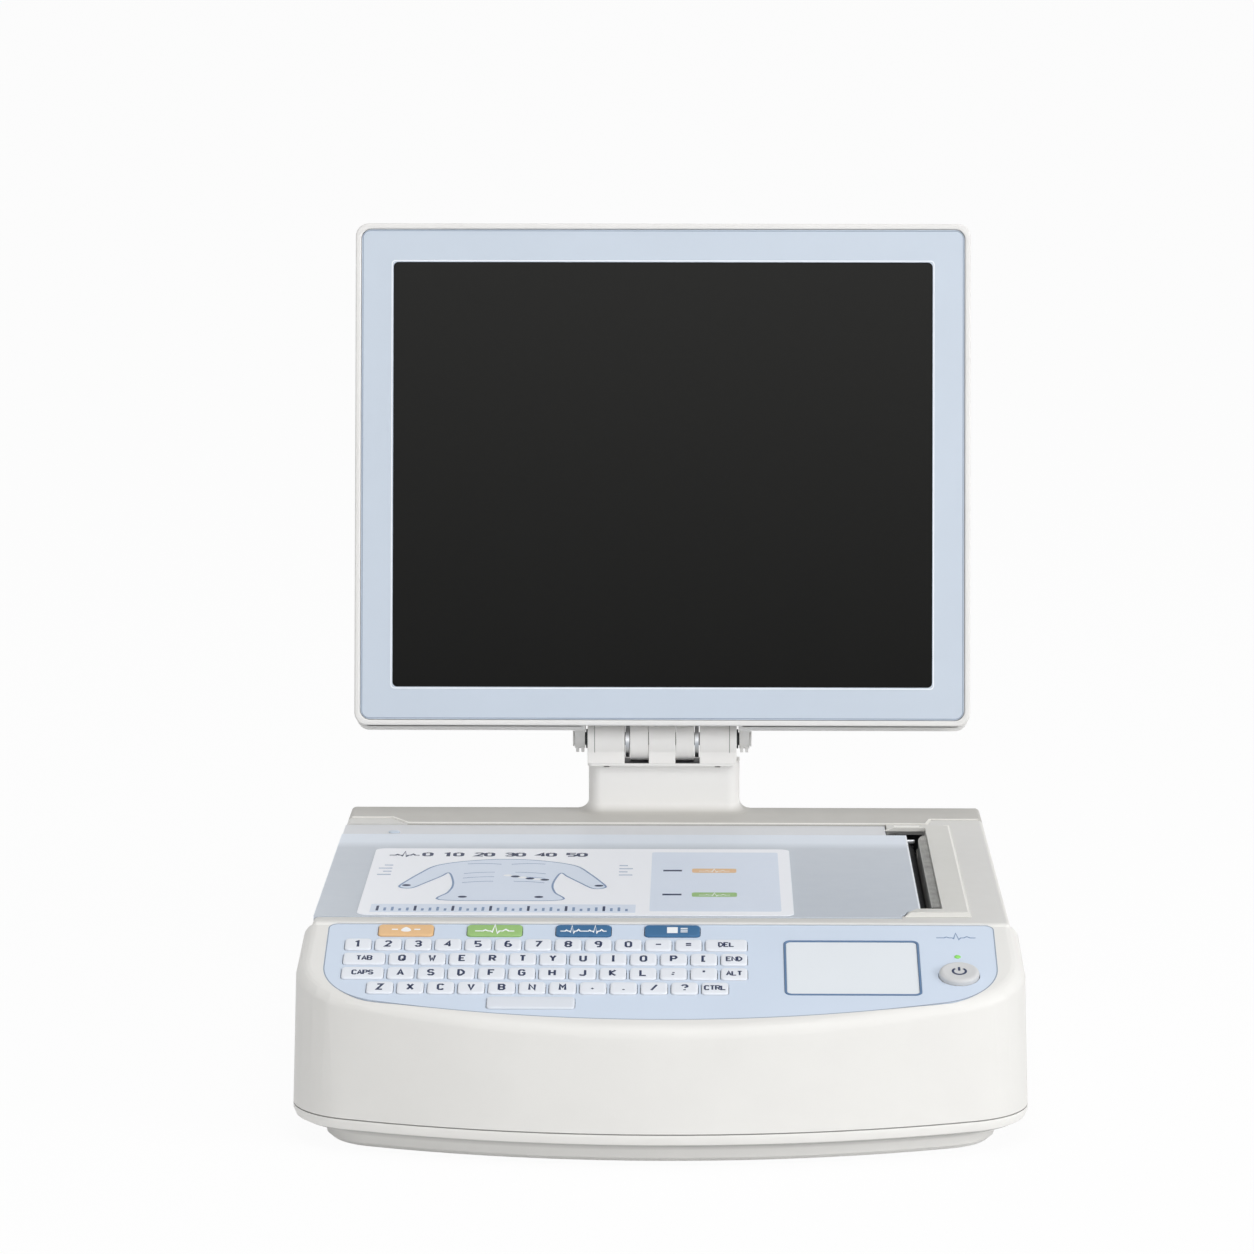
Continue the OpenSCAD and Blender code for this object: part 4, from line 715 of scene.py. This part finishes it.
bm = bmesh.new()
SIGN_R = 3.6 * MM
SIGN_Z = 2.99 * MM
gap = math.radians(38)
arc = [gap + (2 * math.pi - 2 * gap) * i / 28 for i in range(29)]
stroke(bm, [(button_middle[0] + SIGN_R * math.sin(a), button_middle[1] + SIGN_R * math.cos(a))
            for a in arc], 1.3 * MM, SIGN_Z)
stroke(bm, [(button_middle[0], button_middle[1] + 0.6 * MM),
            (button_middle[0], button_middle[1] + 4.6 * MM)], 1.3 * MM, SIGN_Z)
piece("power_sign", bm, [INK], KEYBOARD, "power")

low, high = box_in("power_led", KEYBOARD)
lamp_middle = ((low.x + high.x) / 2, (low.y + high.y) / 2)
lamp_r = (high.x - low.x) / 2
bm = bmesh.new()
skin(bm, [[(lamp_middle[0] + lamp_r * k * math.cos(2 * math.pi * i / 32),
            lamp_middle[1] + lamp_r * k * math.sin(2 * math.pi * i / 32), z * MM) for i in range(32)]
          for k, z in ((1, -1.5), (1, 0.1), (0.94, 0.35), (0.78, 0.55), (0.5, 0.7), (0.2, 0.76))])
lens = piece("power_lamp_lens", bm, [LED], KEYBOARD, "machine", sharp=60)
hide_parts("power_led")

# ---- edges, lines and small parts ----

LIFT = 0.01 * MM                        # of a line or plate off the face below it

# painted shade along the overlay's edge, and a plain mark at its right end
points, top = outer_edge("keyboard_overlay", KEYBOARD)
bm = bmesh.new()
stroke(bm, points, 0.7 * MM, top + LIFT, closed=True)
piece("overlay_edge_shade", bm, [SEAM_SHADE], KEYBOARD, "machine")
bm = bmesh.new()
stroke(bm, pulse((button_middle[0], -15 * MM), 22 * MM, 6 * MM), 0.9 * MM, top + LIFT)
piece("overlay_mark", bm, [INK_LINE], KEYBOARD, "machine")

# painted shade along the face plate's outer edge, and a painted highlight along the edge of its opening
plate_low, plate_high = box_in("face_plate", DISPLAY)


def edge_line(name, low, high, inset, radius, width, material):
    """A line inside a rectangle on the face plate."""
    w, h = high.x - low.x - 2 * inset, high.y - low.y - 2 * inset
    x, y = (low.x + high.x) / 2, (low.y + high.y) / 2
    bm = bmesh.new()
    stroke(bm, [(x + px, y + py) for px, py in rounded_loop(w, h, radius)], width,
           plate_high.z + LIFT, closed=True)
    piece(name, bm, [material], DISPLAY, "display")


edge_line("plate_edge_shade", plate_low, plate_high, 0.75 * MM, 4.5 * MM, 0.6 * MM, SEAM_SHADE)
SCREEN_W, SCREEN_H = 333.6 * MM, 263 * MM   # the face plate's opening
screen_middle = ((plate_low + plate_high) / 2).to_2d()
half_screen = Vector((SCREEN_W / 2, SCREEN_H / 2))
edge_line("screen_edge_highlight", screen_middle - half_screen, screen_middle + half_screen, -0.8 * MM,
          2 * MM, 0.7 * MM, HIGHLIGHT_PALE)

# joint lines of the hinge drum's end caps
drum_low, drum_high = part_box("hinge_drum")
axis = joint_place("display_tilt")
drum_r = drum_high.z - axis.z
CAP_T = 4.4 * MM
bm = bmesh.new()
for x in (drum_low.x + CAP_T, drum_high.x - CAP_T):
    skin(bm, [[(x + side * 0.22 * MM, axis.y + r * math.cos(2 * math.pi * i / 72),
                axis.z + r * math.sin(2 * math.pi * i / 72)) for i in range(72)]
              for side, r in ((-1, drum_r - 0.3 * MM), (-1, drum_r + 0.03 * MM),
                              (1, drum_r + 0.03 * MM), (1, drum_r - 0.3 * MM))])
piece("hinge_cap_lines", bm, [CAP_LINE], Matrix(), "machine")

# painted shade: a dark sheet on top of the neck, seen in the slots between the knuckles
NECK_FRONT, NECK_REAR = back(432), back(450)
neck_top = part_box("rear_deck")[1].z
neck_shade_left, neck_shade_right = drum_low.x + 6 * MM, drum_high.x - 6 * MM
bm = bmesh.new()
sheet(bm, [(neck_shade_left, NECK_FRONT), (neck_shade_right, NECK_FRONT), (neck_shade_right, NECK_REAR),
           (neck_shade_left, NECK_REAR)], neck_top + LIFT, thick=0.1 * MM)
piece("neck_slot_shade", bm, [DARK], Matrix(), "machine")


def stretch(points, first, keep):
    """The part of a closed line that passes a test, in order, begun far away from it."""
    start = points.index(max(points, key=first))
    return [p for p in points[start:] + points[:start] if keep(p)]


# painted highlight: a pale bead along the front part of the rear deck's edge
HIGHLIGHT_W, HIGHLIGHT_T, HIGHLIGHT_IN = 1.4 * MM, 0.7 * MM, 0.75 * MM
points, top = outer_edge("rear_deck", Matrix(), DECK_H)
front_part = stretch(points, lambda p: p[1], lambda p: p[1] < back(420))
bm = bmesh.new()
stroke(bm, [(x, y + HIGHLIGHT_IN) for x, y in front_part], HIGHLIGHT_W, top + LIFT, thick=HIGHLIGHT_T)
piece("deck_edge_highlight", bm, [HIGHLIGHT_CREAM], Matrix(), "machine")

# painted highlights: a pale line along the edge of the writer's cover, and a broad pale strip along its
# rear
LIT_STRIP_W, LIT_STRIP_IN = 4.6 * MM, 2.6 * MM
points, top = outer_edge("writer_cover", Matrix())
right = max(x for x, y in points) - 0.5 * MM
rear, front = max(y for x, y in points) - 0.5 * MM, min(y for x, y in points) + 0.4 * MM
bm = bmesh.new()
stroke(bm, [(right - 3 * MM, rear), (right, rear), (right, front), (right - 29 * MM, front)],
       1.0 * MM, top + LIFT)
arm_left = min(x for x, y in points if y > 0)
stroke(bm, [(arm_left, rear - LIT_STRIP_IN), (right - 18 * MM, rear - LIT_STRIP_IN)], LIT_STRIP_W, top + LIFT)
piece("writer_edge_highlight", bm, [HIGHLIGHT_CREAM], Matrix(), "machine")

# edge of the print head, without its right side
points, top = outer_edge("print_head", Matrix())
head_right = max(x for x, y in points) - 0.15 * MM
edge = stretch(points, lambda p: p[0], lambda p: p[0] < head_right)
bm = bmesh.new()
stroke(bm, [(x + 0.35 * MM, y) for x, y in edge], 0.6 * MM, top + LIFT)
piece("head_edge_line", bm, [CAP_LINE], Matrix(), "machine")

# painted shade: a dark sheet behind the gears of the writer
SHADE_LEFT, SHADE_RIGHT = 142 * MM, 158.5 * MM
SHADE_FRONT, SHADE_REAR = back(399.9), back(400.3)
SHADE_FOOT, SHADE_H = 93 * MM, 17 * MM
bm = bmesh.new()
sheet(bm, [(SHADE_LEFT, SHADE_FRONT), (SHADE_RIGHT, SHADE_FRONT), (SHADE_RIGHT, SHADE_REAR),
           (SHADE_LEFT, SHADE_REAR)], SHADE_FOOT, thick=SHADE_H)
piece("writer_slot_shade", bm, [DARK], Matrix(), "machine")

# painted highlight along the right edge of the paper cover
points, top = outer_edge("paper_cover", Matrix())
right = max(x for x, y in points)
side = [y for x, y in points if x > right - 0.05 * MM]
right -= 0.5 * MM
bm = bmesh.new()
stroke(bm, [(right, min(side)), (right, max(side))], 0.9 * MM, top + LIFT)
piece("cover_edge_highlight", bm, [HIGHLIGHT_PALE], Matrix(), "cover")

# finger stud on the cover's rear strip, and the pin at its right edge
STRIP_TOP = DECK_H - 0.8 * MM
bm = bmesh.new()
pad(bm, (-165.5 * MM, back(376)), (7 * MM, 5.6 * MM), 2.4 * MM,
    [(0, -0.4), (0, 0.5), (0.3, 0.9), (0.9, 1.1), (1.8, 1.15)])
piece("cover_stud", bm, [FACE], Matrix.Translation((0, 0, STRIP_TOP)), "cover")
bm = bmesh.new()
pad(bm, (148.8 * MM, back(355)), (7 * MM, 3 * MM), 1.2 * MM,
    [(0, -1.4), (0, 0), (0.25, 0.3), (0.8, 0.4)])
piece("cover_pin", bm, [STEEL], Matrix.Translation((0, 0, STRIP_TOP)), "cover")

# ---- printed label on the paper cover ----

low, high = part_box("cover_label")
LABEL_PLACE = Matrix.Translation(((low.x + high.x) / 2, (low.y + high.y) / 2, high.z))
INKS = [INK_PALE, INK_LINE, INK, ORANGE, GREEN, INK_WHITE]
PALE, LINE, NAVY, AMBER, LEAF, WHITE = range(len(INKS))


def box_points(x0, x1, y0, y1, r):
    """A rectangle between two corners, rounded by r, in label millimetres."""
    w, d = (x1 - x0) * MM, (y1 - y0) * MM
    cx, cy = (x0 + x1) / 2 * MM, (y0 + y1) / 2 * MM
    return [(cx + x, cy + y) for x, y in rounded_loop(w, d, r * MM)]


def smooth_path(points, steps=5):
    """A Catmull-Rom curve through closed points."""
    path, count = [], len(points)
    for i in range(count):
        p = [Vector(points[(i + k - 1) % count]) for k in range(4)]
        for s in range(steps):
            t = s / steps
            path.append(0.5 * (2 * p[1] + (p[2] - p[0]) * t
                               + (2 * p[0] - 5 * p[1] + 4 * p[2] - p[3]) * t ** 2
                               + (3 * p[1] - p[0] - 3 * p[2] + p[3]) * t ** 3))
    return path


bm = bmesh.new()
# control panel at the right, with two plain tags
sheet(bm, box_points(42, 117, -84, 84, 2), 0, PALE)
for y, ink in ((30, AMBER), (-38, LEAF)):
    sheet(bm, box_points(66, 92, y - 6, y + 6, 2), PRINT, ink)
    stroke(bm, [(49 * MM, y * MM), (60 * MM, y * MM)], 4.4 * MM, PRINT, NAVY)
    stroke(bm, pulse((79 * MM, y * MM), 18 * MM, 7 * MM), 1 * MM, 2 * PRINT, WHITE)
# a plain chest with arms, drawn as one outline
chest = [(0, 62), (10, 61), (22, 57), (34, 50), (43, 40), (50, 20), (56, 0), (60, -18), (53, -22),
         (45, -6), (37, 12), (33, 22), (30, 4), (29, -16), (31, -34), (35, -54), (0, -56)]
CHEST_X = -44
chest = [(x * MM, y * MM) for x, y in chest]
outline = chest + [(-x, y) for x, y in reversed(chest[1:-1])]
outline = [(x + CHEST_X * MM, y) for x, y in smooth_path(outline)]
sheet(bm, outline, 0, PALE)
stroke(bm, outline, 1.2 * MM, PRINT, LINE, closed=True)
for side in (-1, 1):                    # collar bones and ribs as short arcs
    stroke(bm, [((CHEST_X + side * (3 + 5 * i)) * MM, (47 + 2.4 * math.sin(i * 0.7)) * MM)
                for i in range(5)], 1.1 * MM, PRINT, LINE)
    for rib in range(3):
        stroke(bm, [((CHEST_X + side * (6 + 3.6 * i)) * MM, (24 - rib * 13 - 0.5 * i * i * 0.35) * MM)
                    for i in range(6)], 1.0 * MM, PRINT, LINE)
for i in range(6):                      # electrode places
    angle = math.radians(-20 + 22 * i)
    disc(bm, ((CHEST_X + 2 + 4.4 * i) * MM, (12 - 10 * math.sin(angle * 0.8)) * MM), 2.6 * MM,
         2 * PRINT, NAVY if i % 2 else WHITE)
for side in (-1, 1):
    for x, y in ((56, -14), (22, -46)):
        disc(bm, ((CHEST_X + side * x) * MM, y * MM), 2.6 * MM, 2 * PRINT, NAVY)
for side in (-1, 1):                    # call-out lines beside the arms
    for i in range(4):
        near, far = CHEST_X + side * 67, CHEST_X + side * (72 + 3 * (i % 2))
        stroke(bm, [(near * MM, (44 - 9 * i) * MM), (far * MM, (44 - 9 * i) * MM)], 1.8 * MM, 0, LINE)
# a beat trace over the chest, and a strip of marks along the lower edge
stroke(bm, pulse((-106 * MM, 76 * MM), 18 * MM, 13 * MM), 1.9 * MM, 0, NAVY)
lettering(bm, "0 10 20 30 40 50", (-46 * MM, 76 * MM), 9 * MM, 0, 0.24, NAVY)
sheet(bm, box_points(-117, 34, -88, -66, 1), 0, PALE)
for i in range(34):
    x = -113 + i * 4.3
    tall = 13 if i % 5 == 0 else 6 + 2 * (i * 7 % 3)
    stroke(bm, [(x * MM, -84 * MM), (x * MM, (-84 + tall) * MM)], 1.5 * MM, PRINT,
           NAVY if i % 5 == 0 else LINE)
label_print = piece("cover_label_print", bm, INKS, LABEL_PLACE, "cover")


# ---- floor, light and camera ----

def stage_floor():
    """A wide pale floor that stays white to the camera and keeps a soft shadow."""
    bm = bmesh.new()
    bmesh.ops.create_grid(bm, x_segments=1, y_segments=1, size=40)
    mesh = bpy.data.meshes.new("floor")
    bm.to_mesh(mesh)
    bm.free()
    floor = bpy.data.objects.new("floor", mesh)
    bpy.context.scene.collection.objects.link(floor)
    n = Nodes("floor_white")
    n.shader.inputs["Base Color"].default_value = (0.86, 0.86, 0.86, 1)
    n.shader.inputs["Roughness"].default_value = 0.8
    n.shader.inputs["Specular IOR Level"].default_value = 0.1
    glow = n.add("ShaderNodeEmission")
    glow.inputs["Strength"].default_value = 1.0
    glow.inputs["Color"].default_value = rgb(255, 255, 255)
    path = n.add("ShaderNodeLightPath")
    seen = n.add("ShaderNodeMath", operation="MAXIMUM")
    share = n.add("ShaderNodeMath", operation="MULTIPLY")
    share.inputs[1].default_value = 0.95
    mix = n.add("ShaderNodeMixShader")
    n.join(path.outputs["Is Camera Ray"], seen.inputs[0])
    n.join(path.outputs["Is Glossy Ray"], seen.inputs[1])
    n.join(seen.outputs[0], share.inputs[0])
    n.join(share.outputs[0], mix.inputs[0])
    n.join(n.shader.outputs[0], mix.inputs[1])
    n.join(glow.outputs[0], mix.inputs[2])
    n.join(mix.outputs[0], n.tree.nodes["Material Output"].inputs["Surface"])
    mesh.materials.append(n.material)


def world_light(strength):
    world = bpy.data.worlds.new("studio")
    bpy.context.scene.world = world
    world.use_nodes = True
    tree = world.node_tree
    background = tree.nodes["Background"]
    background.inputs["Color"].default_value = (1, 1, 1, 1)
    path = tree.nodes.new("ShaderNodeLightPath")
    either = tree.nodes.new("ShaderNodeMath")
    either.operation = "MAXIMUM"
    level = tree.nodes.new("ShaderNodeMapRange")
    level.inputs["To Min"].default_value = strength
    level.inputs["To Max"].default_value = 1.0
    tree.links.new(path.outputs["Is Camera Ray"], either.inputs[0])
    tree.links.new(path.outputs["Is Glossy Ray"], either.inputs[1])
    tree.links.new(either.outputs[0], level.inputs["Value"])
    tree.links.new(level.outputs["Result"], background.inputs["Strength"])


def soft_box(name, place, target, size, power):
    lamp = bpy.data.lights.new(name, "AREA")
    lamp.shape = "RECTANGLE"
    lamp.size, lamp.size_y = size
    lamp.energy = power
    obj = bpy.data.objects.new(name, lamp)
    obj.location = place
    obj.rotation_euler = (Vector(target) - Vector(place)).to_track_quat("-Z", "Y").to_euler()
    bpy.context.scene.collection.objects.link(obj)


def photo_camera():
    """The photograph's own view, found from the machine's straight edges."""
    camera = bpy.data.cameras.new("photo_camera")
    camera.lens = 150.43
    camera.sensor_width = 36
    camera.clip_end = 200
    obj = bpy.data.objects.new("photo_camera", camera)
    obj.location = (22.8 * MM, FRONT - 2772.9 * MM, 740 * MM)
    obj.rotation_euler = (math.radians(90 - 9.022), 0, math.radians(0.8315))
    bpy.context.scene.collection.objects.link(obj)
    bpy.context.scene.camera = obj


stage_floor()
world_light(0.48)
soft_box("key_light", (3.2, -1.9, 1.6), (0, 0, 0.15), (2.2, 1.6), 60)
soft_box("top_light", (0.3, -1.2, 2.4), (0, 0, 0.15), (1.6, 1.2), 21)
soft_box("fill_light", (-1.9, -2.0, 1.2), (0, 0, 0.15), (1.4, 1.4), 1.2)
soft_box("low_light", (0.1, -2.8, 0.35), (0, 0, 0.12), (1.8, 0.5), 7.5)
photo_camera()
bpy.context.scene.view_settings.view_transform = "Standard"
